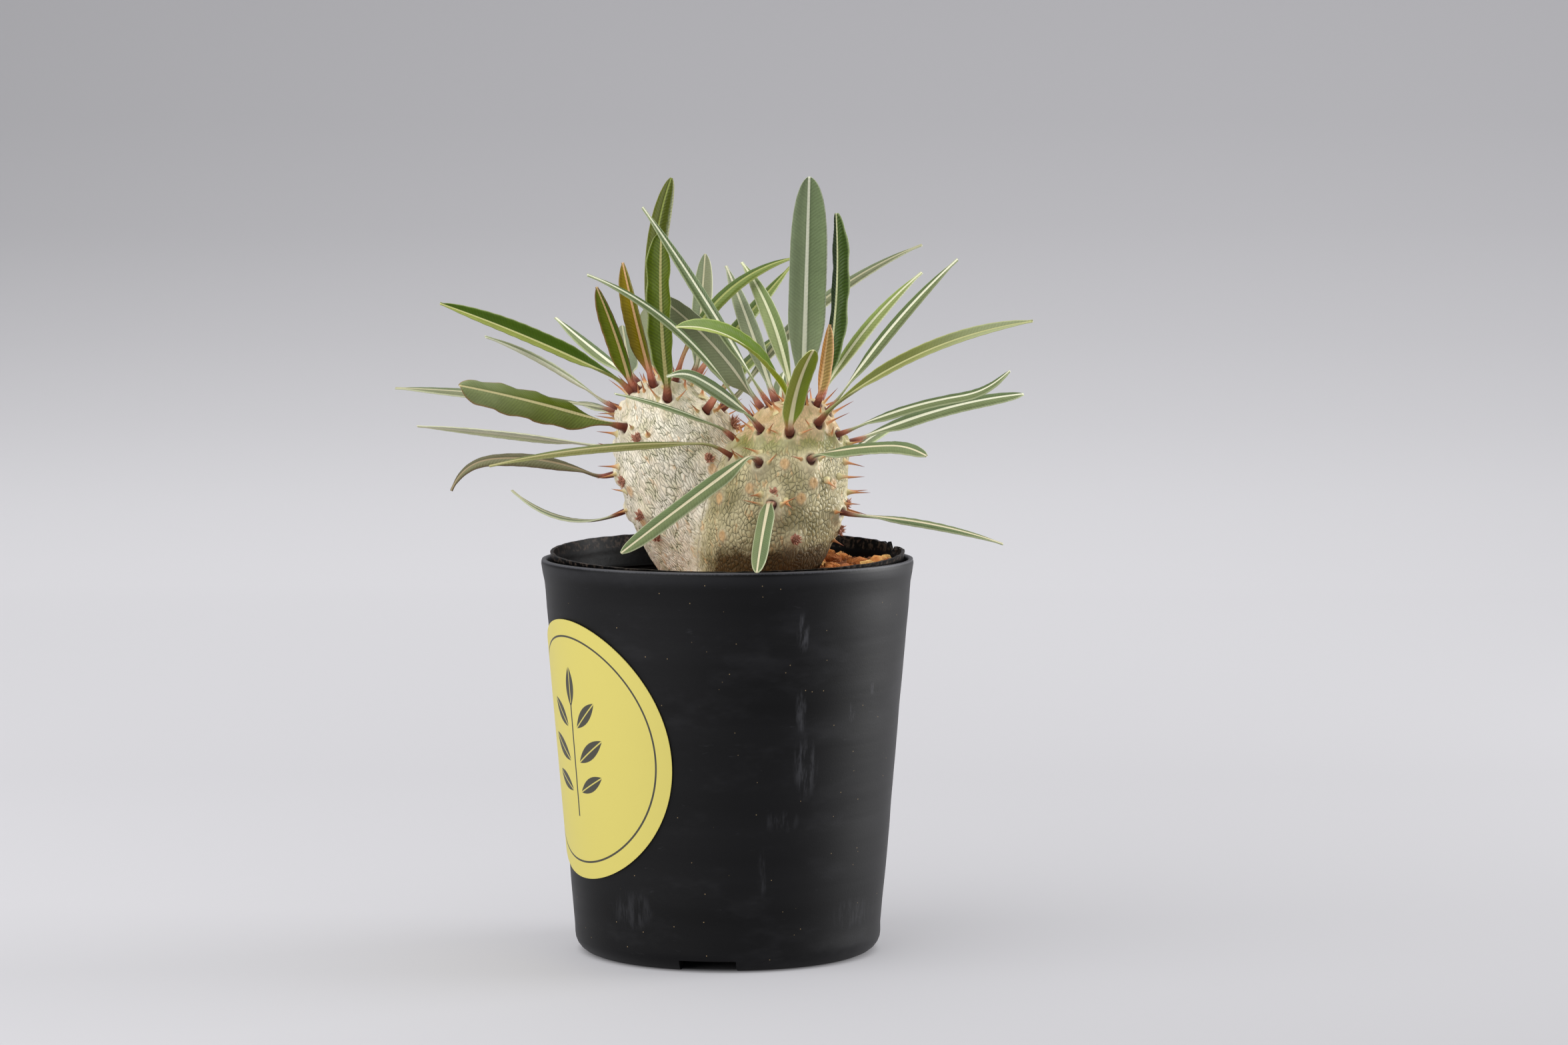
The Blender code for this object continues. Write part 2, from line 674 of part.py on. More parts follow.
def soil_body(collection, growths, root_cutter):
    """The soil column with grains on top, hollowed where the root stands."""
    floor = POT_FLOOR_TOP + 2 * GAP + LINER_WALL
    corner = SOIL_CORNER
    rim = soil_radius(SOIL_LEVEL) - LINER_RIDGE
    profile = [(0, SOIL_LEVEL)]
    profile += [(rim * ring / SOIL_RINGS, SOIL_LEVEL) for ring in range(1, SOIL_RINGS + 1)]
    profile += [(soil_radius(floor + corner), floor + corner)]
    profile += [(soil_radius(floor + corner) - corner, floor), (0, floor)]
    soil = turned("soil", profile, collection, SOIL_STEPS)
    apply_modifiers(soil)
    close_axis(soil.data)
    for vert in soil.data.vertices:
        if vert.co.z > SOIL_LEVEL - MM:
            vert.co.z = soil_height(vert.co.x, vert.co.y)
    scatter_grains(rim, growths)
    boolean(soil, "grains", "UNION", growths)
    boolean(soil, "root", "DIFFERENCE", root_cutter)
    apply_modifiers(soil)
    remove_all(growths.objects)
    return soil


def close_axis(mesh):
    """Drops the zero-width faces that a profile along the axis leaves."""
    bm = bmesh.new()
    bm.from_mesh(mesh)
    bmesh.ops.remove_doubles(bm, verts=bm.verts, dist=MERGE)
    bmesh.ops.dissolve_degenerate(bm, dist=MERGE, edges=bm.edges)
    bm.to_mesh(mesh)
    bm.free()


def scatter_grains(rim, growths):
    """Lumps of soil sunk half into its top, from the stem out to the liner."""
    draw = random.Random(GRAIN_SEED)
    for _ in range(GRAIN_COUNT):
        turn = draw.uniform(0, 2 * math.pi)
        reach = draw.uniform(*GRAIN_REACH) * rim
        x = reach * math.cos(turn)
        y = reach * math.sin(turn)
        bm = bmesh.new()
        bmesh.ops.create_icosphere(bm, subdivisions=1, radius=draw.uniform(*GRAIN_SIZE))
        bmesh.ops.scale(bm, verts=bm.verts, vec=(1, draw.uniform(*GRAIN_WIDTH), GRAIN_FLATNESS))
        made = new_object("grain", mesh_from("grain", bm), growths)
        spin = Matrix.Rotation(draw.uniform(0, math.pi), 4, "Z")
        made.data.transform(Matrix.Translation((x, y, soil_height(x, y))) @ spin)


def root_cavity(body, cutters):
    """A copy of the stem, swelled by the clearance, that hollows the soil."""
    cutter = new_object("root_cutter", body.data.copy(), cutters)
    for vert in cutter.data.vertices:
        vert.co += vert.normal * ROOT_CLEARANCE
    cutter.hide_render = True
    cutter.display_type = "WIRE"
    return cutter


def label(collection):
    """A round sticker that follows the pot's tapering wall."""
    bm = bmesh.new()
    bmesh.ops.create_grid(bm, x_segments=LABEL_CELLS, y_segments=LABEL_CELLS, size=1)
    for vert in bm.verts:
        u = vert.co.x
        v = vert.co.y
        across = u * math.sqrt(1 - v * v / 2) * LABEL_RADIUS
        height = v * math.sqrt(1 - u * u / 2) * LABEL_RADIUS + LABEL_CENTRE
        radius = wall_radius(height) + GAP
        turn = LABEL_TURN + math.degrees(across / radius)
        vert.co = heading(turn, 0) * radius + Vector((0, 0, height))
    made = new_object("label", mesh_from("label", bm), collection)
    thicken = made.modifiers.new("thicken", "SOLIDIFY")
    thicken.thickness = LABEL_THICK
    thicken.offset = 1
    return made


def stand_on_axis(*collections):
    """Moves everything from the pot's own axis to where that axis stands in the frame."""
    for collection in collections:
        for made in collection.objects:
            made.location += POT_AXIS


def main():
    remove_all(bpy.data.objects)
    parts = bpy.data.collections.new("potted_pachypodium")
    cutters = bpy.data.collections.new("cutters")
    growths = bpy.data.collections.new("growths")
    for collection in (parts, cutters, growths):
        bpy.context.scene.collection.children.link(collection)
    black = material("black_plastic", (0.018, 0.019, 0.022), 0.45)
    thin_black = material("liner_plastic", (0.012, 0.012, 0.013), 0.5)
    earth = material("baked_clay_soil", (0.42, 0.17, 0.05), 0.95)
    bark = material("stem_bark", (0.46, 0.44, 0.32), 0.6)
    green = material("leaf_green", (0.07, 0.16, 0.05), 0.5)
    yellow = material("label_yellow", (0.86, 0.78, 0.2), 0.5)

    body = stem_body(parts)
    surface = surface_of(body)
    finish(outer_pot(parts, cutters), black)
    finish(liner_pot(parts), thin_black)
    finish(soil_body(parts, growths, root_cavity(body, cutters)), earth)
    finish(label(parts), yellow)
    seats = [seat_on(surface, leaf.head, leaf.seat) for leaf in LEAVES]
    add_growths(body, surface, seats, growths)
    finish(body, bark)
    count = dict.fromkeys(HEADS, 0)
    for leaf, seat in zip(LEAVES, seats):
        count[leaf.head] += 1
        name = f"{leaf.head}_leaf_{count[leaf.head]:02d}"
        finish(make_leaf(name, leaf, seat, parts), green)
    stand_on_axis(parts, cutters)


main()
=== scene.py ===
"""Dressed scene of a potted pachypodium.

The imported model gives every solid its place. Each solid is replaced here by a finer piece of
the same form: bark with real wrinkles, leaves with midribs and pale margins, grainy soil, a
torn liner, and a moulded pot that carries a plain printed sticker.
"""

import logging
import math
import random
from contextlib import contextmanager
from dataclasses import dataclass, field
from enum import Enum
from typing import Any, Iterable, Iterator, NamedTuple

import bpy
import numpy as np
from mathutils import Matrix, Vector, noise
from mathutils.bvhtree import BVHTree


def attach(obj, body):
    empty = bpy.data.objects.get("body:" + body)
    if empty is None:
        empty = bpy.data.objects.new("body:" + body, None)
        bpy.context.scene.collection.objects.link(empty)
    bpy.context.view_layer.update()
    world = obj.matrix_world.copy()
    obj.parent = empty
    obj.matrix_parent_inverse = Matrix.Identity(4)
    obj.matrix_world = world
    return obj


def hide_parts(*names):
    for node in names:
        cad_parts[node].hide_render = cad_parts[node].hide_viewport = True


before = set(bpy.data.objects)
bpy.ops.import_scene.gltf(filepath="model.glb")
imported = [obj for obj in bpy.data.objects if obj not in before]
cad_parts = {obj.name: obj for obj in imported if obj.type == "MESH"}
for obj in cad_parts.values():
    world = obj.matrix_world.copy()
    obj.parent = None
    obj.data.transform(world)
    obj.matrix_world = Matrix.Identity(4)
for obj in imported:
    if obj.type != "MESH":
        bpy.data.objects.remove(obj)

LOG = logging.getLogger("potted_pachypodium")
MM = 0.001
POT_AXIS = Vector((5.3, -7.9, 0)) * MM
GOLDEN_TURN = 137.5
Colour = tuple[float, float, float, float]
Rgb = tuple[int, int, int]
Rows = np.ndarray
Piece = bpy.types.Object
Material = bpy.types.Material


# ---- maths


def chip(red: int, green: int, blue: int) -> Colour:
    """Reads a colour off a paint chip.

    Args:
        red: the red seen on a screen, from 0 to 255.
        green: the green.
        blue: the blue.

    Returns:
        The shader's linear values.
    """

    def linear(value: int) -> float:
        """One channel without the screen's curve."""
        share = value / 255
        return share / 12.92 if share <= 0.04045 else ((share + 0.055) / 1.055) ** 2.4

    return (linear(red), linear(green), linear(blue), 1)


def hump(value: Any, width: float, power: float = 2) -> Any:
    """A bell from 1 at 0, which falls off over the width and is squarer for a greater power."""
    return np.exp(-((np.abs(value) / width) ** power))


def eased(value: Any) -> Any:
    """Smooth step from 0 to 1, for a number or an array."""
    value = np.clip(value, 0, 1)
    return value * value * (3 - 2 * value)


def heading(turn: float, rise: float) -> Vector:
    """Unit vector for a turn about Z and a rise above level, in degrees."""
    turn, rise = math.radians(turn), math.radians(rise)
    return Vector((math.cos(rise) * math.cos(turn), math.cos(rise) * math.sin(turn), math.sin(rise)))


def toward(point: Vector, ahead: Vector) -> Matrix:
    """A matrix that stands local +Z along a direction at a point."""
    return Matrix.Translation(point) @ ahead.to_track_quat("Z", "X").to_matrix().to_4x4()


# ---- bench


def focus(*pieces: Piece) -> None:
    """Selects these pieces alone, with the first one active.

    Args:
        pieces: what the next operator acts on.
    """
    bpy.ops.object.select_all(action="DESELECT")
    for piece in pieces:
        piece.select_set(True)
    bpy.context.view_layer.objects.active = pieces[0]


@contextmanager
def editing(piece: Piece) -> Iterator[None]:
    """Opens a piece in edit mode with all of it selected, and closes it afterwards.

    Args:
        piece: the piece.

    Yields:
        Nothing: the operators inside act on the piece.
    """
    focus(piece)
    bpy.ops.object.mode_set(mode="EDIT")
    bpy.ops.mesh.select_all(action="SELECT")
    yield
    bpy.ops.object.mode_set(mode="OBJECT")


def made(name: str) -> Piece:
    """Names the piece that the last operator added.

    Args:
        name: its name, and its mesh's.

    Returns:
        The piece.
    """
    piece = bpy.context.active_object
    piece.name = piece.data.name = name
    return piece


def apply_modifiers(piece: Piece) -> None:
    """Works every modifier into the mesh, first to last.

    Args:
        piece: the object that carries them.
    """
    focus(piece)
    for modifier in list(piece.modifiers):
        bpy.ops.object.modifier_apply(modifier=modifier.name)


def add_modifier(piece: Piece, kind: str, **settings: Any) -> bpy.types.Modifier:
    """Adds a modifier and sets it up.

    Args:
        piece: the object it goes on.
        kind: Blender's name for the modifier.
        settings: values for its own properties.

    Returns:
        The modifier.
    """
    modifier = piece.modifiers.new(kind.lower(), kind)
    for key, value in settings.items():
        setattr(modifier, key, value)
    return modifier


def points_of(mesh: bpy.types.Mesh) -> Rows:
    """Reads the mesh's vertices.

    Args:
        mesh: the mesh.

    Returns:
        Rows of three, in metres.
    """
    flat = np.empty(len(mesh.vertices) * 3, np.float32)
    mesh.vertices.foreach_get("co", flat)
    return flat.reshape(-1, 3).astype(np.float64)


def set_points(mesh: bpy.types.Mesh, points: Rows) -> None:
    """Moves the mesh's vertices to these rows."""
    mesh.vertices.foreach_set("co", points.astype(np.float32).ravel())
    mesh.update()


def write_vectors(mesh: bpy.types.Mesh, name: str, rows: Rows) -> None:
    """Keeps three numbers a vertex under a name that materials can read."""
    layer = mesh.attributes.get(name) or mesh.attributes.new(name, "FLOAT_VECTOR", "POINT")
    layer.data.foreach_set("vector", rows.astype(np.float32).ravel())


def joined(name: str, pieces: list[Piece], *templates: Piece) -> Piece:
    """Makes one piece out of many.

    Args:
        name: the name of the whole.
        pieces: the parts, which are used up.
        templates: what the parts were copied from, which goes too.

    Returns:
        The whole.
    """
    for template in templates:
        bpy.data.objects.remove(template)
    focus(*pieces)
    bpy.ops.object.join()
    return made(name)


def copy_at(template: Piece, place: Matrix, tint: float | None = None) -> Piece:
    """Copies a piece with a mesh of its own, and leaves the copy's object at the origin.

    Args:
        template: the piece.
        place: where the copy's mesh goes.
        tint: a shade from 0 to 1 that its paint reads.

    Returns:
        The copy.
    """
    copy = template.copy()
    copy.data = template.data.copy()
    copy.data.transform(place)
    if tint is not None:
        write_vectors(copy.data, "tint", np.full((len(copy.data.vertices), 3), tint))
    bpy.context.scene.collection.objects.link(copy)
    return copy


def outward(piece: Piece) -> None:
    """Merges doubled points and turns every face outwards.

    Args:
        piece: a closed shape.
    """
    with editing(piece):
        bpy.ops.mesh.remove_doubles(threshold=0.01 * MM)
        bpy.ops.mesh.normals_make_consistent(inside=False)


def shade(piece: Piece, crease: float | None = None) -> None:
    """Shades a piece smooth.

    Args:
        piece: the piece.
        crease: the angle in degrees past which an edge stays sharp, or None for no such edge.
    """
    focus(piece)
    if crease is None:
        bpy.ops.object.shade_smooth()
    else:
        bpy.ops.object.shade_smooth_by_angle(angle=math.radians(crease))


def turned(name: str, profile: list[tuple[float, float]], steps: int) -> Piece:
    """Spins a closed profile about Z.

    Args:
        name: the piece's name.
        profile: (radius, height) points in metres, all round the section.
        steps: how many faces go round.

    Returns:
        The turned piece, with its faces outwards.
    """
    bpy.ops.mesh.primitive_circle_add(vertices=len(profile), radius=1, fill_type="NOTHING")
    piece = made(name)
    for vert, (radius, height) in zip(piece.data.vertices, profile):
        vert.co = (radius, 0, height)
    with editing(piece):
        bpy.ops.mesh.spin(steps=steps, angle=2 * math.pi, center=(0, 0, 0), axis=(0, 0, 1))
    outward(piece)
    return piece


def finish_piece(piece: Piece, paint: Material, slot: str, *nodes: str) -> None:
    """Stands the piece on the pot's axis, paints it and hands it to the frame.

    Args:
        piece: a piece modelled about the pot's own axis.
        paint: its material.
        slot: the record's material slot of the piece; it is not used.
        nodes: the CAD nodes that it stands for.
    """
    piece.data.transform(Matrix.Translation(POT_AXIS))
    piece.data.materials.clear()
    piece.data.materials.append(paint)
    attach(piece, "root")
    if nodes:
        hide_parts(*nodes)
    LOG.info("%s: %d faces", piece.name, len(piece.data.polygons))


# ---- nodes


class Wire:
    """One output of a node, on which Python's operators add Math nodes."""

    def __init__(self, work: "NodeWork", socket: bpy.types.NodeSocket) -> None:
        """Keeps the output and the tree that it is in."""
        self.work = work
        self.socket = socket

    def __add__(self, other: Any) -> "Wire":
        """This plus the other."""
        return self.work.math("ADD", self, other)

    def __sub__(self, other: Any) -> "Wire":
        """This less the other."""
        return self.work.math("SUBTRACT", self, other)

    def __rsub__(self, other: Any) -> "Wire":
        """The other less this."""
        return self.work.math("SUBTRACT", other, self)

    def __mul__(self, other: Any) -> "Wire":
        """This times the other."""
        return self.work.math("MULTIPLY", self, other)

    def __truediv__(self, other: Any) -> "Wire":
        """This over the other."""
        return self.work.math("DIVIDE", self, other)

    def __pow__(self, other: Any) -> "Wire":
        """This to the other's power."""
        return self.work.math("POWER", self, other)

    def __abs__(self) -> "Wire":
        """This without its sign."""
        return self.work.math("ABSOLUTE", self)

    __radd__ = __add__
    __rmul__ = __mul__


class NodeWork:
    """A node tree being laid out, for a material or for a relief."""

    def __init__(self, tree: bpy.types.NodeTree) -> None:
        """Keeps the tree."""
        self.tree = tree

    def node(self, kind: str, settings: dict | None = None, sockets: dict | None = None) -> bpy.types.Node:
        """Adds one node.

        Args:
            kind: Blender's name for the node.
            settings: its properties, set first; "stops" fills a colour ramp.
            sockets: values or wires for its inputs, by name or number.

        Returns:
            The node.
        """
        node = self.tree.nodes.new(kind)
        for key, value in (settings or {}).items():
            if key == "stops":
                self._fill_ramp(node.color_ramp, value)
            else:
                setattr(node, key, value)
        for key, value in (sockets or {}).items():
            if isinstance(value, Wire):
                self.tree.links.new(value.socket, node.inputs[key])
            else:
                node.inputs[key].default_value = value
        return node

    @staticmethod
    def _fill_ramp(ramp: bpy.types.ColorRamp, stops: Iterable[tuple[float, Colour]]) -> None:
        """Puts the stops on a ramp that has two to begin with.

        Args:
            ramp: the ramp.
            stops: each stop's position and colour.
        """
        for index, (position, colour) in enumerate(stops):
            stop = ramp.elements[index] if index < 2 else ramp.elements.new(position)
            stop.position = position
            stop.color = colour

    def wire(self, output: int | str, kind: str, settings: dict | None = None, sockets: dict | None = None) -> Wire:
        """Adds one node and takes one of its outputs."""
        return Wire(self, self.node(kind, settings, sockets).outputs[output])

    def math(self, operation: str, first: Any, second: Any = 0) -> Wire:
        """Adds a Math node."""
        return self.wire(0, "ShaderNodeMath", {"operation": operation}, {0: first, 1: second})

    def step(self, value: Any, low: float, high: float) -> Wire:
        """Smooth step of a wire, from 0 at low to 1 at high."""
        sockets = {0: value, 1: low, 2: high, 3: 0, 4: 1}
        return self.wire(0, "ShaderNodeMapRange", {"interpolation_type": "SMOOTHSTEP"}, sockets)

    def noise(self, place: Wire, scale: float, detail: float = 2, roughness: float = 0.5) -> Wire:
        """Cloudy noise from 0 to 1."""
        sockets = {"Vector": place, "Scale": scale, "Detail": detail, "Roughness": roughness}
        return self.wire(0, "ShaderNodeTexNoise", {}, sockets)

    def jitter(self, place: Wire, scale: float, reach: float) -> Wire:
        """Makes a vector that wanders over the surface.

        Args:
            place: the coordinates that it follows.
            scale: how many wanders a unit holds.
            reach: about how far it goes.

        Returns:
            The vector.
        """
        cloud = self.wire(1, "ShaderNodeTexNoise", {}, {"Vector": place, "Scale": scale, "Detail": 1})
        centred = self.vector("SUBTRACT", cloud, (0.5, 0.5, 0.5))
        return self.scaled(centred, reach * 2)

    def cells(self, place: Wire, scale: float, feature: str = "F1", dimensions: str = "3D") -> Wire:
        """Distance in a net of cells: to the nearest middle for F1, or to the nearest edge."""
        settings = {"feature": feature, "voronoi_dimensions": dimensions}
        return self.wire("Distance", "ShaderNodeTexVoronoi", settings, {"Vector": place, "Scale": scale})

    def cell_shade(self, place: Wire, scale: float) -> Wire:
        """A number from 0 to 1 that is the same all over one cell."""
        tint = self.wire("Color", "ShaderNodeTexVoronoi", {}, {"Vector": place, "Scale": scale})
        return self.split(tint)[0]

    def vector(self, operation: str, first: Any, second: Any) -> Wire:
        """Adds a Vector Math node."""
        return self.wire(0, "ShaderNodeVectorMath", {"operation": operation}, {0: first, 1: second})

    def join(self, x: Any, y: Any, z: Any) -> Wire:
        """Three numbers as one vector."""
        return self.wire(0, "ShaderNodeCombineXYZ", {}, {0: x, 1: y, 2: z})

    def split(self, vector: Wire) -> tuple[Wire, Wire, Wire]:
        """A vector's three numbers."""
        node = self.node("ShaderNodeSeparateXYZ", {}, {0: vector})
        return Wire(self, node.outputs[0]), Wire(self, node.outputs[1]), Wire(self, node.outputs[2])

    def scaled(self, vector: Any, amount: Any) -> Wire:
        """A vector or a colour times a number."""
        return self.wire(0, "ShaderNodeVectorMath", {"operation": "SCALE"}, {0: vector, 3: amount})

    def stretched(self, place: Wire, x: float, y: float, z: float) -> Wire:
        """The place with each of its numbers scaled."""
        return self.vector("MULTIPLY", place, (x, y, z))


class Paint(NodeWork):
    """A material with one Principled shader."""

    def __init__(self, name: str, roughness: float = 0.5, **fixed: Any) -> None:
        """Starts the material.

        Args:
            name: the material's name.
            roughness: its even roughness, where nothing drives it.
            fixed: other even values, by the shader's socket names with _ for a space.
        """
        self.material = bpy.data.materials.new(name)
        self.material.use_nodes = True
        super().__init__(self.material.node_tree)
        self.shader = self.tree.nodes["Principled BSDF"]
        self.shader.inputs["Roughness"].default_value = roughness
        for key, value in fixed.items():
            self.shader.inputs[key.replace("_", " ")].default_value = value

    def place(self) -> Wire:
        """Object coordinates, in metres."""
        return self.wire("Object", "ShaderNodeTexCoord")

    def tint(self) -> Wire:
        """The shade from 0 to 1 that a copy was given."""
        return self.split(self.read("tint"))[0]

    def place_in_pot(self) -> Wire:
        """Coordinates from the foot of the pot's axis, in metres."""
        return self.vector("SUBTRACT", self.place(), tuple(POT_AXIS))

    def read(self, name: str) -> Wire:
        """A vector that the mesh keeps under a name."""
        return self.wire("Vector", "ShaderNodeAttribute", {"attribute_name": name})

    def mix(self, share: Any, first: Any, second: Any, blend: str = "MIX") -> Wire:
        """Two colours mixed by a share."""
        settings = {"data_type": "RGBA", "blend_type": blend}
        return self.wire(2, "ShaderNodeMix", settings, {0: share, 6: first, 7: second})

    def ramp(self, share: Wire, *stops: tuple[float, Colour]) -> Wire:
        """A run of colours."""
        return self.wire(0, "ShaderNodeValToRGB", {"stops": stops}, {0: share})

    def drive(self, socket: str, wire: Wire) -> None:
        """Links a wire to one of the shader's sockets."""
        self.tree.links.new(wire.socket, self.shader.inputs[socket])

    def bump(self, height: Wire, distance: float, strength: float = 1) -> None:
        """Gives the surface a bump, whose height is in the distance's units."""
        node = self.node("ShaderNodeBump", {}, {"Strength": strength, "Distance": distance, "Height": height})
        self.tree.links.new(node.outputs[0], self.shader.inputs["Normal"])


# ---- finishes


class Rub(NamedTuple):
    """A pale rubbed place on the pot's front, in millimetres from its axis and foot."""

    x: float
    z: float
    half_width: float
    half_height: float
    strength: float


@dataclass(frozen=True)
class CharcoalPlastic:
    """Black moulded plastic with faint rings, rubbed places and dust, and a painted highlight along the lip and the
    band below it.
    """

    black: Colour = chip(5, 5, 6)
    # worn is also the colour of the painted highlight on the lip and on the band below it.
    worn: Colour = chip(98, 98, 103)
    dust: Colour = chip(170, 146, 108)
    rubs: tuple[Rub, ...] = (
        Rub(18.1, 80.6, 1.6, 5, 0.8),
        Rub(17.6, 62, 1.4, 5.5, 0.6),
        Rub(18.6, 49, 3, 8.5, 0.55),
        Rub(29.5, 61, 0.9, 2.6, 0.6),
        Rub(34.5, 66, 0.8, 1.6, 0.7),
        Rub(13, 36, 4.5, 3, 0.3),
        Rub(8.6, 24, 1.5, 6, 0.3),
        Rub(-22, 14, 5, 5, 0.35),
        Rub(30, 12, 6, 4, 0.25),
    )

    def mixed(self) -> Material:
        """Mixes the finish.

        Returns:
            The material.
        """
        paint = Paint("charcoal_plastic", 0.42, Specular_IOR_Level=0.18)
        place = paint.place_in_pot()
        x, y, z = paint.split(place)
        cloud = paint.noise(place, 26, 3)
        blooms = paint.noise(paint.stretched(place, 40, 40, 95), 1, 4, 0.65)
        bands = paint.noise(paint.join(x * 6, y * 6, z * 105), 1, 2)
        rings = paint.noise(paint.join(x * 5, y * 5, z * 330), 1, 2)
        streaks = paint.noise(paint.stretched(place, 900, 900, 120), 1, 3, 0.7)
        grain = paint.noise(place, 2400, 2)
        front = paint.step(y * -1, 0, 0.01)
        rubbed = 0
        for rub in self.rubs:
            across = (x - rub.x * MM) / (rub.half_width * MM)
            up = (z - rub.z * MM) / (rub.half_height * MM)
            near = 1 - paint.step(across * across + up * up, 0.1, 1.2)
            rubbed = near * rub.strength + rubbed
        rubbed = rubbed * front * paint.step(streaks, 0.42, 0.66)
        specks = 1 - paint.step(paint.cells(place, 330), 0.02, 0.055)
        scratches = paint.step(paint.noise(paint.stretched(place, 160, 160, 620), 1, 4, 0.75), 0.64, 0.74)
        # Painted highlight: the band just below the lip and the top of the lip are lighter where the top light falls on
        # them; the top of the lip is partly worn too.
        shoulder = paint.step(z, 0.0905, 0.0935) * (1 - paint.step(z, 0.0938, 0.0944))
        lip_wear_and_highlight = paint.step(z + (grain - 0.5) * 0.0004, 0.0944, 0.0948)
        bloom = paint.step(blooms, 0.5, 0.78) * 0.07 + (bands - 0.5) * 0.07 + cloud * 0.03
        wear_and_highlight = bloom + rubbed * 0.42 + scratches * 0.07 + lip_wear_and_highlight * 0.5 + shoulder * 0.07
        colour = paint.mix(paint.math("MAXIMUM", wear_and_highlight, 0), self.black, self.worn)
        colour = paint.mix(specks * 0.7, colour, self.dust)
        paint.drive("Base Color", colour)
        paint.drive("Roughness", 0.34 + cloud * 0.1 + bands * 0.1 + rings * 0.06 + rubbed * 0.2)
        paint.bump(rings * 0.4 + bands * 1.2 + grain * 0.16 + cloud * 0.8, 0.00018, 0.5)
        return paint.material


@dataclass(frozen=True)
class LinerPlastic:
    """Thin black plastic, a little brown where soil has rubbed it."""

    black: Colour = chip(4, 4, 4)
    stain: Colour = chip(30, 25, 21)
    torn: Colour = chip(120, 104, 92)

    def mixed(self) -> Material:
        """Mixes the finish.

        Returns:
            The material.
        """
        paint = Paint("liner_plastic", 0.46, Specular_IOR_Level=0.06)
        place = paint.place_in_pot()
        x, y, z = paint.split(place)
        smears = paint.noise(paint.stretched(place, 90, 90, 260), 1, 4, 0.65)
        ridges = paint.math("SINE", z * 2600 + paint.noise(place, 60, 1) * 3) * 0.5 + 0.5
        rim = paint.step(z, 0.0948, 0.0953) * paint.step(paint.noise(place, 900, 2), 0.45, 0.7)
        colour = paint.mix(paint.step(smears, 0.52, 0.78), self.black, self.stain)
        paint.drive("Base Color", paint.mix(rim * 0.3, colour, self.torn))
        paint.drive("Roughness", 0.32 + smears * 0.26)
        paint.bump(paint.noise(place, 900, 3) * 0.6 + ridges * 0.5, 0.00015, 0.6)
        return paint.material


class Sprig(NamedTuple):
    """A printed leaf: its middle, half length, half width and slant, in millimetres and degrees."""

    x: float
    y: float
    half_length: float
    half_width: float
    slant: float


@dataclass(frozen=True)
class StickerPaper:
    """Matt yellow paper with a thin ring and a plain sprig of leaves in dark ink."""

    yellow: Colour = chip(214, 202, 106)
    shade: Colour = chip(205, 190, 94)
    ink: Colour = chip(62, 60, 48)
    ring: float = 27
    ring_half: float = 0.28
    leaves: tuple[Sprig, ...] = (
        Sprig(0, 15, 5, 1.9, 90),
        Sprig(6, 8.5, 5.2, 1.8, 40),
        Sprig(-6, 8.5, 5.2, 1.8, 140),
        Sprig(7, 0, 5.8, 1.9, 32),
        Sprig(-7, 0, 5.8, 1.9, 148),
        Sprig(6.4, -8, 5, 1.7, 26),
        Sprig(-6.4, -8, 5, 1.7, 154),
    )

    def mixed(self) -> Material:
        """Mixes the finish.

        Returns:
            The material.
        """
        paint = Paint("sticker_paper", 0.5)
        sheet = paint.read("sheet")
        x, y, _ = paint.split(sheet)
        reach = paint.math("SQRT", x * x + y * y)
        off_ring = abs(reach - self.ring)
        ink = 1 - paint.step(off_ring, self.ring_half * 0.7, self.ring_half)
        stalk = (1 - paint.step(abs(x), 0.22, 0.36)) * (
            paint.step(y, -16.2, -16) * (1 - paint.step(y, 11, 11.2))
        )
        ink = paint.math("MAXIMUM", ink, stalk)
        for leaf in self.leaves:
            turn = math.radians(leaf.slant)
            across = x - leaf.x
            up = y - leaf.y
            along = (across * math.cos(turn) + up * math.sin(turn)) / leaf.half_length
            aside = (up * math.cos(turn) - across * math.sin(turn)) / leaf.half_width
            edge = along * along + abs(aside)
            inked = 1 - paint.step(edge, 0.94, 1)
            vein = 1 - paint.step(abs(aside), 0.06, 0.12)
            ink = paint.math("MAXIMUM", ink, inked * (1 - vein * 0.9))
        fibre = paint.noise(paint.stretched(sheet, 6, 6, 6), 1, 4, 0.7)
        ground = paint.mix(fibre, self.yellow, self.shade)
        paint.drive("Base Color", paint.mix(ink, ground, self.ink))
        paint.bump(fibre, 0.00003, 0.4)
        return paint.material


@dataclass(frozen=True)
class BakedClay:
    """Grains of baked clay, from red crumbs to pale orange lumps, told apart by the mesh's tint."""

    dark: Colour = chip(84, 46, 26)
    red: Colour = chip(150, 84, 46)
    orange: Colour = chip(212, 134, 70)
    pale: Colour = chip(250, 204, 126)

    def mixed(self) -> Material:
        """Mixes the finish.

        Returns:
            The material.
        """
        paint = Paint("baked_clay", 0.9)
        place = paint.place()
        tint = paint.tint()
        mottle = paint.noise(place, 700, 4, 0.7)
        fine = paint.noise(place, 2600, 3, 0.7)
        share = tint * 0.75 + mottle * 0.5 - 0.12
        colour = paint.ramp(share, (0.05, self.dark), (0.38, self.red), (0.68, self.orange), (0.95, self.pale))
        paint.drive("Base Color", paint.scaled(colour, 0.95 + fine * 0.7))
        paint.bump(mottle * 0.8 + fine * 0.7, 0.0008, 1)
        return paint.material


@dataclass(frozen=True)
class CoirFibre:
    """Dry plant fibres, tan to brown."""

    brown: Colour = chip(112, 66, 36)
    tan: Colour = chip(206, 158, 104)

    def mixed(self) -> Material:
        """Mixes the finish.

        Returns:
            The material.
        """
        paint = Paint("coir_fibre", 0.8)
        tint = paint.tint()
        mottle = paint.noise(paint.place(), 500, 2)
        paint.drive("Base Color", paint.mix(tint * 0.8 + mottle * 0.3, self.brown, self.tan))
        paint.bump(paint.noise(paint.place(), 3000, 2), 0.0001, 0.5)
        return paint.material


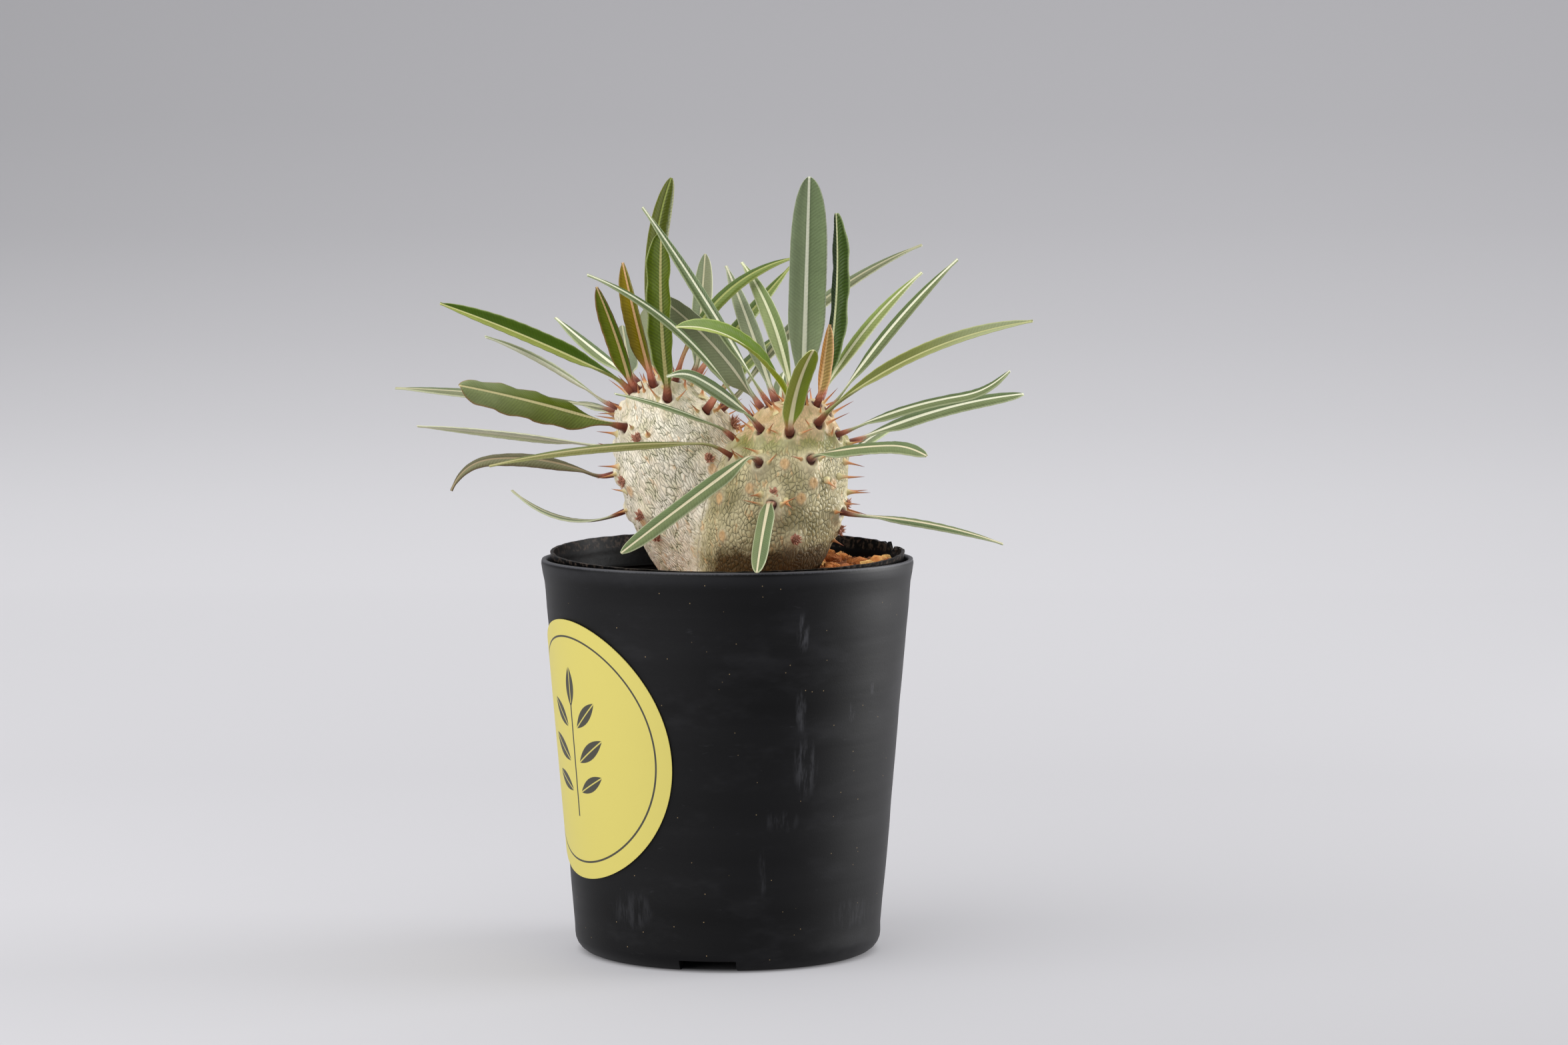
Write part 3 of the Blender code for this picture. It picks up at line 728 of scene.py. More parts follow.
@dataclass(frozen=True)
class Wrinkles:
    """The net of fine crinkles on the bark, in millimetres on the bark's own map.

    Each pair of sizes is for the left head and for the right one.
    """

    lengths: tuple[float, float] = (1.9, 1.3)
    widths: tuple[float, float] = (0.66, 0.9)
    slant: float = -58
    drift: float = 0.8
    crinkle: float = 0.3

    def slanted(self, work: NodeWork, place: Wire) -> tuple[Wire, Wire]:
        """The map with its first axis turned to run down the slant of the crinkles.

        Args:
            work: the tree of the material or of the relief.
            place: the bark's map.

        Returns:
            The distances along the slant and across it.
        """
        moved = work.vector("ADD", place, work.jitter(place, 0.3, self.drift))
        moved = work.vector("ADD", moved, work.jitter(place, 1.3, self.crinkle))
        x, y, _ = work.split(moved)
        turn = math.radians(self.slant)
        return x * math.cos(turn) + y * math.sin(turn), y * math.cos(turn) - x * math.sin(turn)

    def edge(self, work: NodeWork, run: tuple[Wire, Wire], right: Wire) -> Wire:
        """How far each place is from the edge of its pad of bark.

        Args:
            work: the tree of the material or of the relief.
            run: the distances along the slant and across it.
            right: 1 on the right head and 0 on the left one.

        Returns:
            0 along a crinkle, and up to about a half in the middle of a pad.
        """
        nets = [
            work.cells(work.join(run[0] / length, run[1] / width, 0), 1, "DISTANCE_TO_EDGE", "2D")
            for length, width in zip(self.lengths, self.widths)
        ]
        return nets[0] * (1 - right) + nets[1] * right


@dataclass(frozen=True)
class Bark:
    """Wrinkled skin: silver on the left head, sage on the right, mossy brown at the foot."""

    silver: Colour = chip(250, 241, 220)
    cream: Colour = chip(248, 230, 200)
    lichen: Colour = chip(212, 206, 170)
    streak: Colour = chip(220, 172, 114)
    sage: Colour = chip(151, 140, 96)
    pale_sage: Colour = chip(198, 186, 143)
    left_groove: Colour = chip(104, 108, 76)
    right_groove: Colour = chip(52, 62, 30)
    moss: Colour = chip(76, 52, 8)
    dark_moss: Colour = chip(38, 36, 8)
    fresh: Colour = chip(122, 126, 42)
    peach: Colour = chip(210, 176, 130)
    collar: Colour = chip(222, 210, 176)
    scar: Colour = chip(204, 160, 106)
    scar_line: Colour = chip(140, 96, 56)
    socket: Colour = chip(86, 46, 40)
    wrinkles: Wrinkles = field(default_factory=Wrinkles)

    def mixed(self) -> Material:
        """Mixes the finish.

        Returns:
            The material.
        """
        paint = Paint("wrinkled_bark", 0.45, Specular_IOR_Level=0.38)
        place = paint.read("bark")
        right, moss, crown = paint.split(paint.read("zone"))
        scar, socket, calm = paint.split(paint.read("mark"))
        run = self.wrinkles.slanted(paint, place)
        edge = self.wrinkles.edge(paint, run, right)
        broad = paint.noise(place, 0.13, 3, 0.6)
        patch = paint.noise(place, 0.34, 3, 0.6)
        right = paint.step(right + (patch - 0.5) * 0.9, 0.1, 0.9)
        speckle = paint.noise(place, 2.8, 3, 0.7)
        streaks = paint.noise(paint.join(run[0] * 0.22, run[1] * 0.62, 0), 1, 2, 0.6)
        bare = (1 - calm) * (1 - crown * 0.6)
        groove = (1 - paint.step(edge + (speckle - 0.5) * 0.04, 0.01, 0.11 - right * 0.02)) * bare
        depth = paint.step(patch, 0.34, 0.62) * 0.62 + 0.38
        pad = paint.step(edge, 0.12, 0.42)
        green = paint.step(patch * 0.6 + broad * 0.4, 0.46, 0.62)
        left_skin = paint.mix(paint.step(broad, 0.42, 0.66) * 0.7, self.silver, self.cream)
        left_skin = paint.mix(green * 0.75, left_skin, self.lichen)
        right_skin = paint.mix(paint.step(broad, 0.38, 0.62), self.sage, self.pale_sage)
        skin = paint.mix(right, left_skin, right_skin)
        skin = paint.mix(paint.step(streaks, 0.6, 0.7) * 0.62, skin, self.streak)
        young = paint.mix(paint.step(crown + (patch - 0.5) * 1.2, 0.65, 1), self.fresh, self.peach)
        skin = paint.mix(paint.step(crown + (patch - 0.5) * 0.5, 0.2, 0.8) * 0.8, skin, young)
        mossy = paint.step(moss + (speckle - 0.5) * 0.7 + (patch - 0.5) * 0.8, 0.22, 0.8)
        skin = paint.mix(mossy * 0.96, skin, self.moss)
        # Painted highlight: the middle of each pad of bark is made lighter than its edges.
        skin = paint.scaled(skin, pad * 0.16 + 0.88)
        cleft = paint.mix(right, self.left_groove, self.right_groove)
        cleft = paint.mix(mossy, cleft, self.dark_moss)
        skin = paint.mix(groove * depth * (0.95 - right * 0.1), skin, cleft)
        # calm paints the pale collar round seats and buds, and along the seam between the heads a pale band that is
        # partly a painted highlight.
        skin = paint.mix(calm * (1 - crown * 0.5) * 0.6, skin, self.collar)
        worn = scar + (speckle - 0.5) * 0.5 + (patch - 0.5) * 0.3
        skin = paint.mix(paint.step(worn, 0.4, 0.75) * 0.75, skin, self.scar)
        rim = paint.step(worn, 0.25, 0.45) * (1 - paint.step(worn, 0.5, 0.75))
        core = paint.step(scar + (speckle - 0.5) * 0.1, 0.9, 1)
        skin = paint.mix((rim * 0.5 + core * 0.6) * speckle, skin, self.scar_line)
        skin = paint.mix(paint.step(socket, 0.3, 0.85) * 0.95, skin, self.socket)
        paint.drive("Base Color", paint.scaled(skin, 0.92 + speckle * 0.16))
        paint.drive("Roughness", 0.36 + groove * 0.3 + mossy * 0.25 + speckle * 0.1)
        raised = pad * 0.5 + groove * depth * -1
        paint.bump(raised * bare + speckle * 0.06 + mossy * speckle * 0.5, 0.00022, 0.8)
        return paint.material


@dataclass(frozen=True)
class Horn:
    """A spine's horn: pale where it leaves the skin, then orange-brown, dark at the point."""

    foot: Colour = chip(214, 202, 150)
    shaft: Colour = chip(214, 146, 94)
    point: Colour = chip(130, 70, 50)

    def mixed(self) -> Material:
        """Mixes the finish.

        Returns:
            The material.
        """
        paint = Paint("spine_horn", 0.42)
        along = paint.split(paint.read("spine"))[0] + (paint.tint() - 0.5) * 0.25
        colour = paint.ramp(along, (0.12, self.foot), (0.42, self.shaft), (1, self.point))
        paint.drive("Base Color", colour)
        paint.bump(paint.noise(paint.place(), 1800, 2), 0.00008, 0.5)
        return paint.material


@dataclass(frozen=True)
class DryScale:
    """Shrivelled bud scales, red-brown."""

    dark: Colour = chip(118, 66, 50)
    pale: Colour = chip(206, 150, 122)

    def mixed(self) -> Material:
        """Mixes the finish.

        Returns:
            The material.
        """
        paint = Paint("dry_scale", 0.7)
        along = paint.split(paint.read("spine"))[0]
        paint.drive("Base Color", paint.mix(along * 0.6 + paint.tint() * 0.5, self.dark, self.pale))
        return paint.material


class Tints(NamedTuple):
    """A leaf's colours. Its upper half and its lower half catch the light differently, so high and low are painted
    light and shade: each half's colour as it is lit.

    The midrib's half width is in mm; the foot's reach is a share of the leaf. Frost over 0 pales
    the half towards the tip, and under 0 the half towards the foot.
    """

    high: Rgb
    low: Rgb
    rib: Rgb
    margin: Rgb
    foot: Rgb
    rib_half: float = 0.5
    foot_reach: float = 0.12
    felt: float = 0.2
    ribbing: float = 0.12
    frost: float = 0


VEIN_RATE = 7.2
VEIN_SLANT = 0.8
MAROON = (96, 36, 26)
ROSE = (206, 122, 104)
DOWN = (206, 208, 172)


class Tone(Enum):
    """The colourings of the leaves, each named for its look."""

    GLOSSY = Tints((66, 92, 2), (140, 148, 62), (206, 204, 138), (150, 160, 92), ROSE, 0.42, 0.08, 0, 0.1)
    WAVY = Tints((76, 92, 0), (78, 92, 8), (158, 150, 96), (150, 158, 96), MAROON, 0.6, 0.1, 0, 0.34)
    BROAD = Tints((84, 98, 0), (108, 120, 52), (204, 192, 140), (150, 112, 74), MAROON, 0.5, 0.06, 0, 0.16, 0.25)
    PALE = Tints((116, 134, 76), (138, 150, 96), (224, 224, 184), DOWN, ROSE, 0.5, 0.08, 0.3, 0.08)
    IVORY = Tints((250, 250, 226), (214, 218, 184), (150, 160, 116), DOWN, ROSE, 0.4, 0.08, 0.3, 0.06)
    MEADOW = Tints((150, 162, 92), (140, 158, 78), (228, 226, 190), DOWN, ROSE, 0.45, 0.1, 0.2, 0.06)
    SHADOW = Tints((104, 114, 80), (114, 118, 84), (176, 170, 136), DOWN, MAROON, 0.4, 0.06, 0.4, 0.06)
    SAND = Tints((176, 178, 138), (184, 184, 156), (196, 190, 160), DOWN, MAROON, 0.4, 0.06, 0.4, 0.06)
    HAY = Tints((106, 114, 58), (122, 120, 64), (176, 166, 116), (172, 172, 116), MAROON, 0.45, 0.05, 0.1, 0.06)
    FELT = Tints((112, 128, 88), (132, 146, 108), (232, 232, 208), (200, 206, 176), ROSE, 0.66, 0.08, 0.8, 0.12, -0.4)
    SILVER = Tints((124, 134, 102), (130, 138, 104), (212, 208, 180), (190, 194, 162), ROSE, 0.5, 0.08, 0.8, 0.12)
    STRIPED = Tints((84, 102, 56), (110, 122, 76), (230, 228, 200), (184, 192, 148), ROSE, 0.5, 0.07, 0.4, 0.1)
    BANDED = Tints((104, 120, 74), (84, 104, 54), (230, 230, 200), (188, 198, 152), ROSE, 0.45, 0.07, 0.4, 0.1)
    DEEP = Tints((20, 38, 2), (58, 80, 20), (186, 188, 146), (140, 154, 104), ROSE, 0.45, 0.08, 0, 0.4)
    BRIGHT = Tints((98, 126, 0), (140, 154, 24), (222, 220, 178), (180, 190, 108), ROSE, 0.4, 0.08, 0, 0.1, 0.3)
    OLIVE = Tints((140, 122, 12), (104, 104, 4), (216, 170, 126), (160, 132, 76), ROSE, 0.6, 0.18, 0, 0.12)
    MOSSY = Tints((76, 83, 10), (75, 84, 10), (132, 142, 66), (140, 140, 80), ROSE, 0.4, 0.07, 0, 0.2)
    DUSKY = Tints((70, 92, 0), (100, 112, 4), (196, 168, 120), (160, 110, 80), ROSE, 0.55, 0.12, 0, 0.12)
    RUSSET = Tints((190, 132, 68), (168, 138, 78), (214, 172, 120), (200, 150, 100), ROSE, 0.4, 0.14, 0, 0.4)
    LIGHT = Tints((126, 142, 38), (146, 152, 60), (226, 216, 172), (196, 200, 144), MAROON, 0.7, 0.08, 0, 0.06)
    BROWN = Tints((92, 88, 58), (112, 110, 76), (150, 132, 100), (108, 88, 66), MAROON, 0.4, 0.08, 0.2, 0.08)
    BACKLIT = Tints((72, 94, 18), (112, 128, 54), (160, 164, 92), (160, 166, 98), ROSE, 0.4, 0.2, 0, 0.1)
    SPRING = Tints((100, 106, 34), (124, 128, 66), (176, 174, 120), (176, 178, 120), MAROON, 0.35, 0.06, 0.3, 0.06, 0.5)
    ROSY = Tints((92, 108, 64), (106, 118, 74), (212, 200, 166), (186, 190, 150), MAROON, 0.45, 0.05, 0.5, 0.1)


@dataclass(frozen=True)
class LeafSkin:
    """Leaf surface with a pale midrib, fine side veins, downy margins and a red foot."""

    tone: Tone
    frost: Colour = chip(178, 186, 152)
    ruddy: Colour = chip(158, 82, 62)
    dark: Colour = chip(84, 34, 28)

    def mixed(self) -> Material:
        """Mixes the finish.

        Returns:
            The material.
        """
        tone = self.tone.value
        high, low, pale, margin, root = (chip(*colour) for colour in tone[:5])
        paint = Paint("leaf_" + self.tone.name.lower(), 0.45, Sheen_Weight=0.12 * tone.felt, Specular_IOR_Level=0.26)
        x, along, side = paint.split(paint.read("blade"))
        share, rim, seed = paint.split(paint.read("reach"))
        aside = abs(x)
        place = paint.join(x, along, seed * 37)
        cloud = paint.noise(place, 0.14, 3)
        down = paint.noise(paint.stretched(place, 3.4, 1.2, 1), 1, 4, 0.75)
        blotch = paint.noise(paint.stretched(place, 1.3, 0.9, 1), 1, 2, 0.6)
        run = (along - aside * VEIN_SLANT + (blotch - 0.5) * 0.5) * VEIN_RATE
        veins = paint.math("SINE", run) * 0.5 + 0.5
        # Painted light and shade: the two halves of the blade, on either side of the midrib, get the colours of a lit
        # half and of a shaded half.
        blade = paint.mix(paint.step(x, -0.12, 0.12), low, high)
        shade = 0.8 + cloud * 0.34 + (veins - 0.5) * tone.ribbing + (down - 0.5) * (0.16 + 0.3 * tone.felt)
        blade = paint.scaled(blade, shade + (blotch - 0.5) * (0.1 + tone.ribbing * 0.4))
        frosted = paint.step(share if tone.frost > 0 else 1 - share, 0.42, 0.95) * abs(tone.frost)
        blade = paint.mix(frosted * (0.6 + down * 0.6), blade, self.frost)
        rib_half = (1.12 - share * 0.62) * tone.rib_half
        off_rib = aside / rib_half
        rib = 1 - paint.step(off_rib, 0.62, 1.05)
        flank = paint.step(off_rib, 0.8, 1.1) * (1 - paint.step(off_rib, 1.1, 2))
        colour = paint.scaled(blade, 1 - flank * 0.16)
        colour = paint.mix(rib * 0.9, colour, paint.scaled(pale[:3], 0.86 + down * 0.28))
        edge = 1 - paint.step(rim, 0.05, 0.3)
        colour = paint.mix(edge * 0.7, colour, margin)
        reach = tone.foot_reach
        foot = 1 - paint.step(share + (down - 0.5) * 0.04, reach * 0.3, reach * 1.4)
        colour = paint.mix(foot * 0.7, colour, root)
        ruddy = 1 - paint.step(along + (down - 0.5) * 0.8, 1.8, 4.4)
        colour = paint.mix(ruddy * 0.62, colour, self.ruddy)
        dark = 1 - paint.step(along + (down - 0.5) * 0.6, 0.5, 2)
        colour = paint.mix(dark * 0.8, colour, self.dark)
        paint.drive("Base Color", colour)
        paint.drive("Roughness", 0.38 + down * 0.14 + 0.16 * tone.felt)
        paint.bump(veins * (0.25 + tone.ribbing) + down * (0.3 + 0.5 * tone.felt) + blotch * 0.5, 0.00014, 0.6)
        return paint.material


@dataclass(frozen=True)
class PaleSweep:
    """The studio's floor and backdrop, with painted light: paler towards the bend and greyer above and on the left.

    Part of its brightness is its own glow, because the photo's floor is lit from all round. No
    glow comes from the round place that the pot covers.
    """

    shares: tuple[float, ...] = (0, 0.2, 0.3, 0.44, 0.5, 0.55, 0.61, 0.68, 0.78, 0.88, 1)
    painted_light_greys: tuple[int, ...] = (186, 188, 196, 207, 211, 205, 195, 185, 173, 167, 165)
    near: float = -0.15
    far: float = 1
    height: float = 0.3
    # The two tilts grade the sweep's painted light from side to side.
    tilt: float = 0.25
    # glow is painted light: the sweep's own emission.
    glow: float = 0.48
    own: float = 0.56
    painted_near_tilt: float = -0.55
    shaded: float = 37.5 * MM

    def mixed(self) -> Material:
        """Mixes the finish.

        Returns:
            The material.
        """
        paint = Paint("pale_sweep", 0.9, Specular_IOR_Level=0.1, Emission_Strength=self.glow)
        place = paint.place()
        x, y, z = paint.split(place)
        depth = (paint.math("MINIMUM", y, self.far) - self.near) / (self.far - self.near)
        cloud = (paint.noise(place, 1.2, 2) - 0.5) * 0.02
        rise = z / self.height + cloud
        # Painted light: the ramp of greys grades the sweep's brightness by depth and height.
        stops = [(share, chip(grey, grey - 1, grey + 2)) for share, grey in zip(self.shares, self.painted_light_greys)]
        colour = paint.ramp((depth + rise) * 0.5, *stops)
        # Painted light: high up the backdrop is brighter to the right; near the front the floor is brighter to the
        # left, which lightens the pot's shadow there, and darker to the right.
        aside = x * paint.math("MINIMUM", z / 0.16, 1) * self.tilt
        near = (x - 0.05) * (1 - paint.step(depth, 0, 0.9)) * self.painted_near_tilt
        colour = paint.scaled(colour, aside + near + 1)
        paint.drive("Base Color", paint.scaled(colour, self.own))
        # Painted light: the sweep glows with its own colour, which weakens the shadows on it; the glow fades out under
        # the pot, leaving a painted contact shadow there.
        out_x, out_y = x - POT_AXIS.x, y - POT_AXIS.y
        clear = paint.step((out_x * out_x + out_y * out_y) / self.shaded**2, 0.64, 1)
        paint.drive("Emission Color", paint.scaled(colour, clear))
        return paint.material


# ---- pot, liner, sticker


@dataclass
class NurseryPot:
    """The outer pot: a tapering wall with a flared rim and a notched foot ring, in metres."""

    height: float = 95 * MM
    rim: float = 45 * MM
    rim_depth: float = 2.5 * MM
    wall_top: float = 44.5 * MM
    foot: float = 37 * MM
    corner: float = 4.5 * MM
    ring: float = 2.5 * MM
    wall: float = 1.5 * MM
    floor_top: float = 5 * MM
    floor_under: float = 3.4 * MM
    drain: float = 6 * MM
    notches: int = 3
    notch_turn: float = -97
    notch_width: float = 13.5 * MM
    notch_height: float = 2.8 * MM
    notch_reach: float = 14 * MM
    rounding: float = 0.6 * MM
    flare: float = 0.42 * MM
    wander: float = 0.16 * MM
    ring_relief: float = 0.09 * MM
    rows: int = 42
    steps: int = 192

    def radius(self, height: Any) -> Any:
        """The wall's outer radius at a height."""
        share = (height - self.corner) / (self.height - self.rim_depth - self.corner)
        return self.foot + share * (self.wall_top - self.foot)

    def profile(self) -> list[tuple[float, float]]:
        """Draws the wall's section, from the rim down the outside and up the inside.

        Returns:
            The radius and height of each point.
        """
        top, rounding = self.height, self.rounding
        shoulder = top - self.rim_depth
        points = []
        for angle in range(90, -1, -30):
            turn = math.radians(angle)
            points.append((self.rim + rounding * (math.cos(turn) - 1), top + rounding * (math.sin(turn) - 1)))
        start = top - 2 * rounding
        for step in range(self.rows):
            height = start + (self.corner - start) * step / self.rows
            flare = self.flare * float(eased((height - start + 5 * MM) / (5 * MM)))
            points.append((self.radius(height) + flare, height))
        middle = self.foot - self.corner
        for angle in range(0, -91, -15):
            turn = math.radians(angle)
            points.append((middle + self.corner * math.cos(turn), self.corner + self.corner * math.sin(turn)))
        points += [(middle - self.ring, 0), (middle - self.ring - rounding, self.floor_under)]
        points += [(self.drain, self.floor_under), (self.drain, self.floor_top)]
        inner = self.radius(self.floor_top) - self.wall
        points += [(inner - 1.2 * MM, self.floor_top), (inner, self.floor_top + 1.2 * MM)]
        mouth = self.wall_top - self.wall
        points += [(mouth, shoulder), (mouth + 0.4 * MM, top - 0.5 * MM)]
        points += [(mouth + 0.7 * MM, top - 0.12 * MM), (self.rim - rounding - 0.4 * MM, top)]
        return points

    def cut_notches(self, pot: Piece) -> None:
        """Cuts the low gaps through the foot ring.

        Args:
            pot: the turned pot.
        """
        for index in range(self.notches):
            turn = self.notch_turn + index * 360 / self.notches
            bpy.ops.mesh.primitive_cube_add(size=1)
            cutter = made("notch")
            place = Matrix.Translation(heading(turn, 0) * (self.foot - self.corner))
            size = Matrix.Diagonal((self.notch_reach, self.notch_width, 2 * self.notch_height, 1))
            cutter.data.transform(place @ Matrix.Rotation(math.radians(turn), 4, "Z") @ size)
            add_modifier(pot, "BOOLEAN", operation="DIFFERENCE", object=cutter)
            apply_modifiers(pot)
            bpy.data.objects.remove(cutter)

    def settle_wall(self, pot: Piece) -> None:
        """Lets the moulded wall run a little out of true, with its rings in low relief.

        Args:
            pot: the turned pot, before its notches are cut.
        """
        points = points_of(pot.data)
        reach = np.hypot(points[:, 0], points[:, 1])
        outer = (reach > self.radius(points[:, 2]) - 0.4 * MM) & (points[:, 2] < self.height - 0.1 * MM)
        for index in np.flatnonzero(outer & (points[:, 2] > self.corner)):
            spot = Vector(points[index])
            wander = noise.noise(Vector((spot.x, spot.y, spot.z * 2.2)) * 26) * self.wander
            ring = noise.noise(Vector((spot.x * 6, spot.y * 6, spot.z * 150))) * self.ring_relief
            points[index, :2] *= 1 + (wander + ring - 0.12 * MM) / reach[index]
        set_points(pot.data, points)

    def build(self) -> None:
        """Makes the pot, painted and in place."""
        pot = turned("pot_shell", self.profile(), self.steps)
        self.settle_wall(pot)
        self.cut_notches(pot)
        shade(pot, 38)
        finish_piece(pot, CharcoalPlastic().mixed(), "outer_pot", "outer_pot")


@dataclass
class ThinLiner:
    """The liner pot, with its rim cut on a slope and torn at the right of the back."""

    pot: NurseryPot
    wall: float = 0.8 * MM
    side_gap: float = 0.9 * MM
    rim_front: float = 95.1 * MM
    rim_back: float = 98.3 * MM
    ridge_drop: float = 6.5 * MM
    ridge: float = 0.5 * MM
    drain: float = 5 * MM
    corner: float = 2 * MM
    slope_start: float = 80 * MM
    tear_turn: float = 17
    tear_depth: float = 3.4 * MM
    flare: float = 0.42 * MM
    rows: tuple[float, ...] = (0.7, 1.4, 2.2, 3.2, 5, 8, 12)
    shred_spots: tuple[tuple[float, float], ...] = ((12.5, 95.2), (10.6, 94.9), (8.8, 94.7), (14, 95.6), (11.4, 95.9))
    shred_reach: float = 42.4 * MM
    shred_thick: float = 0.25 * MM
    shred_seed: int = 4
    steps: int = 240

    def radius(self, height: Any) -> Any:
        """The liner's outer radius at a height."""
        return self.pot.radius(height) - self.pot.wall - self.side_gap

    def profile(self) -> list[tuple[float, float]]:
        """Draws the liner's section before its rim is sloped.

        Returns:
            The radius and height of each point.
        """
        floor = self.pot.floor_top + 0.3 * MM
        corner = self.corner
        foot = self.radius(floor + corner) - corner
        top = self.rim_front
        ridge = top - self.ridge_drop
        points = [(self.radius(top), top)]
        points += [(self.radius(top - drop * MM), top - drop * MM) for drop in self.rows]
        for angle in (0, -45, -90):
            turn = math.radians(angle)
            points.append((foot + corner * math.cos(turn), floor + corner + corner * math.sin(turn)))
        points += [(self.drain, floor), (self.drain, floor + self.wall)]
        points += [(foot, floor + self.wall), (foot + corner - self.wall, floor + corner)]
        inner = self.radius(ridge) - self.wall
        points += [(inner, ridge - self.ridge), (inner - self.ridge, ridge), (inner, ridge + self.ridge)]
        points += [(self.radius(top - drop * MM) - self.wall, top - drop * MM) for drop in (*self.rows[3::-1], 0)]
        return points

    def tear(self, turn: Rows) -> Rows:
        """Works out how far the rim is torn down, or stands up in a spike.

        Args:
            turn: angles round the rim in degrees.

        Returns:
            The rise at each angle, in metres.
        """
        off = turn - self.tear_turn
        nick = -1.7 * hump(off - 1.5, 2.6) - 1.2 * hump(off + 5, 2.4)
        spike = 3.6 * hump(off - 3.4, 0.5, 1.5)
        chips = 0.22 * np.sin(off * 5.3) * hump(off, 12)
        return (nick + spike + chips) * MM

    def shape_rim(self, liner: Piece) -> None:
        """Slopes the rim from front to back and tears it.

        Args:
            liner: the turned liner.
        """
        points = points_of(liner.data)
        lifted = eased((points[:, 2] - self.slope_start) / (self.rim_front - self.slope_start))
        share = 0.5 + 0.5 * points[:, 1] / self.radius(self.rim_front)
        rim = share * (self.rim_back - self.rim_front)
        turn = np.degrees(np.arctan2(points[:, 1], points[:, 0]))
        near_rim = eased((points[:, 2] - self.rim_front + self.tear_depth) / self.tear_depth)
        rough = np.array([noise.noise(heading(angle, 0) * 14) for angle in turn])
        points[:, 2] += lifted * rim + near_rim * (self.tear(turn) + rough * 0.16 * MM)
        points[:, :2] *= 1 + (near_rim * self.flare / self.radius(self.rim_front))[:, None]
        set_points(liner.data, points)

    def shreds(self) -> list[Piece]:
        """Makes the curled scraps of torn plastic that lie over the pot's rim beside the tear.

        Returns:
            The scraps.
        """
        draw = random.Random(self.shred_seed)
        shreds = []
        for index, (turn, height) in enumerate(self.shred_spots):
            bpy.ops.mesh.primitive_grid_add(x_subdivisions=3, y_subdivisions=7, size=2)
            shred = made(f"shred_{index}")
            curl = draw.uniform(1.6, 3.4)
            for vert in shred.data.vertices:
                run = vert.co.y
                width = (0.55 + 0.25 * math.sin(run * 5 + index)) * (1.15 - abs(run) * 0.5) * MM
                lift = math.cos(run * curl / 2) * 1.2 / curl * MM
                vert.co = (vert.co.x * width, math.sin(run * curl / 2) * 2.2 / curl * MM, lift)
            shred.data.transform(Matrix.Rotation(draw.uniform(-1.2, 1.2), 4, "X"))
            shred.data.transform(Matrix.Rotation(draw.uniform(-1.5, 1.5), 4, "Z"))
            spot = heading(turn, 0) * self.shred_reach + Vector((0, 0, height * MM))
            shred.data.transform(Matrix.Translation(spot))
            add_modifier(shred, "SOLIDIFY", thickness=self.shred_thick, offset=0)
            apply_modifiers(shred)
            shreds.append(shred)
        return shreds

    def build(self) -> None:
        """Makes the liner, painted and in place."""
        shell = turned("liner_shell", self.profile(), self.steps)
        self.shape_rim(shell)
        liner = joined("liner_shell", [shell, *self.shreds()])
        shade(liner, 40)
        finish_piece(liner, LinerPlastic().mixed(), "liner_pot", "liner_pot")


@dataclass
class RoundSticker:
    """The round sticker, which follows the pot's wall."""

    pot: NurseryPot
    radius: float = 31 * MM
    thick: float = 0.22 * MM
    stand: float = 0.16 * MM
    turn: float = -151
    middle: float = 51 * MM
    cells: int = 56

    def build(self) -> None:
        """Makes the sticker, painted and in place."""
        bpy.ops.mesh.primitive_grid_add(x_subdivisions=self.cells, y_subdivisions=self.cells, size=2)
        sheet = made("round_sticker")
        flat = points_of(sheet.data)
        u, v = flat[:, 0], flat[:, 1]
        across = u * np.sqrt(1 - v * v / 2) * self.radius
        up = v * np.sqrt(1 - u * u / 2) * self.radius
        height = up + self.middle
        radius = self.pot.radius(height) + self.stand
        turn = math.radians(self.turn) + across / radius
        set_points(sheet.data, np.stack([radius * np.cos(turn), radius * np.sin(turn), height], axis=1))
        write_vectors(sheet.data, "sheet", np.stack([across, up, up * 0], axis=1) / MM)
        add_modifier(sheet, "SOLIDIFY", thickness=self.thick, offset=1)
        apply_modifiers(sheet)
        shade(sheet, 40)
        finish_piece(sheet, StickerPaper().mixed(), "label", "label")


# ---- stem


class Head(NamedTuple):
    """One swollen lobe of the stem, in metres: an egg whose axis leans as it rises."""

    heart: Vector
    girth: float
    rise: float
    drop: float
    lean: tuple[float, float]
    seam: float


HEADS = {
    "left": Head(Vector((-10.8, 6.5, 116)) * MM, 16.3 * MM, 22 * MM, 34 * MM, (-0.2, 0.08), -29),
    "right": Head(Vector((11.5, -6, 107)) * MM, 16.7 * MM, 26.5 * MM, 27 * MM, (0.24, 0), 151),
}
ROOT = Head(Vector((1, 0, 84)) * MM, 13 * MM, 14 * MM, 26 * MM, (0, 0), 90)


class Spot(NamedTuple):
    """A place on the stem with its outward normal."""

    point: Vector
    normal: Vector


class LoneSpine(NamedTuple):
    """A spine on its own: its seat angles, the way it points and its length in millimetres."""

    head: str
    seat: tuple[float, float]
    turn: float
    rise: float
    length: float


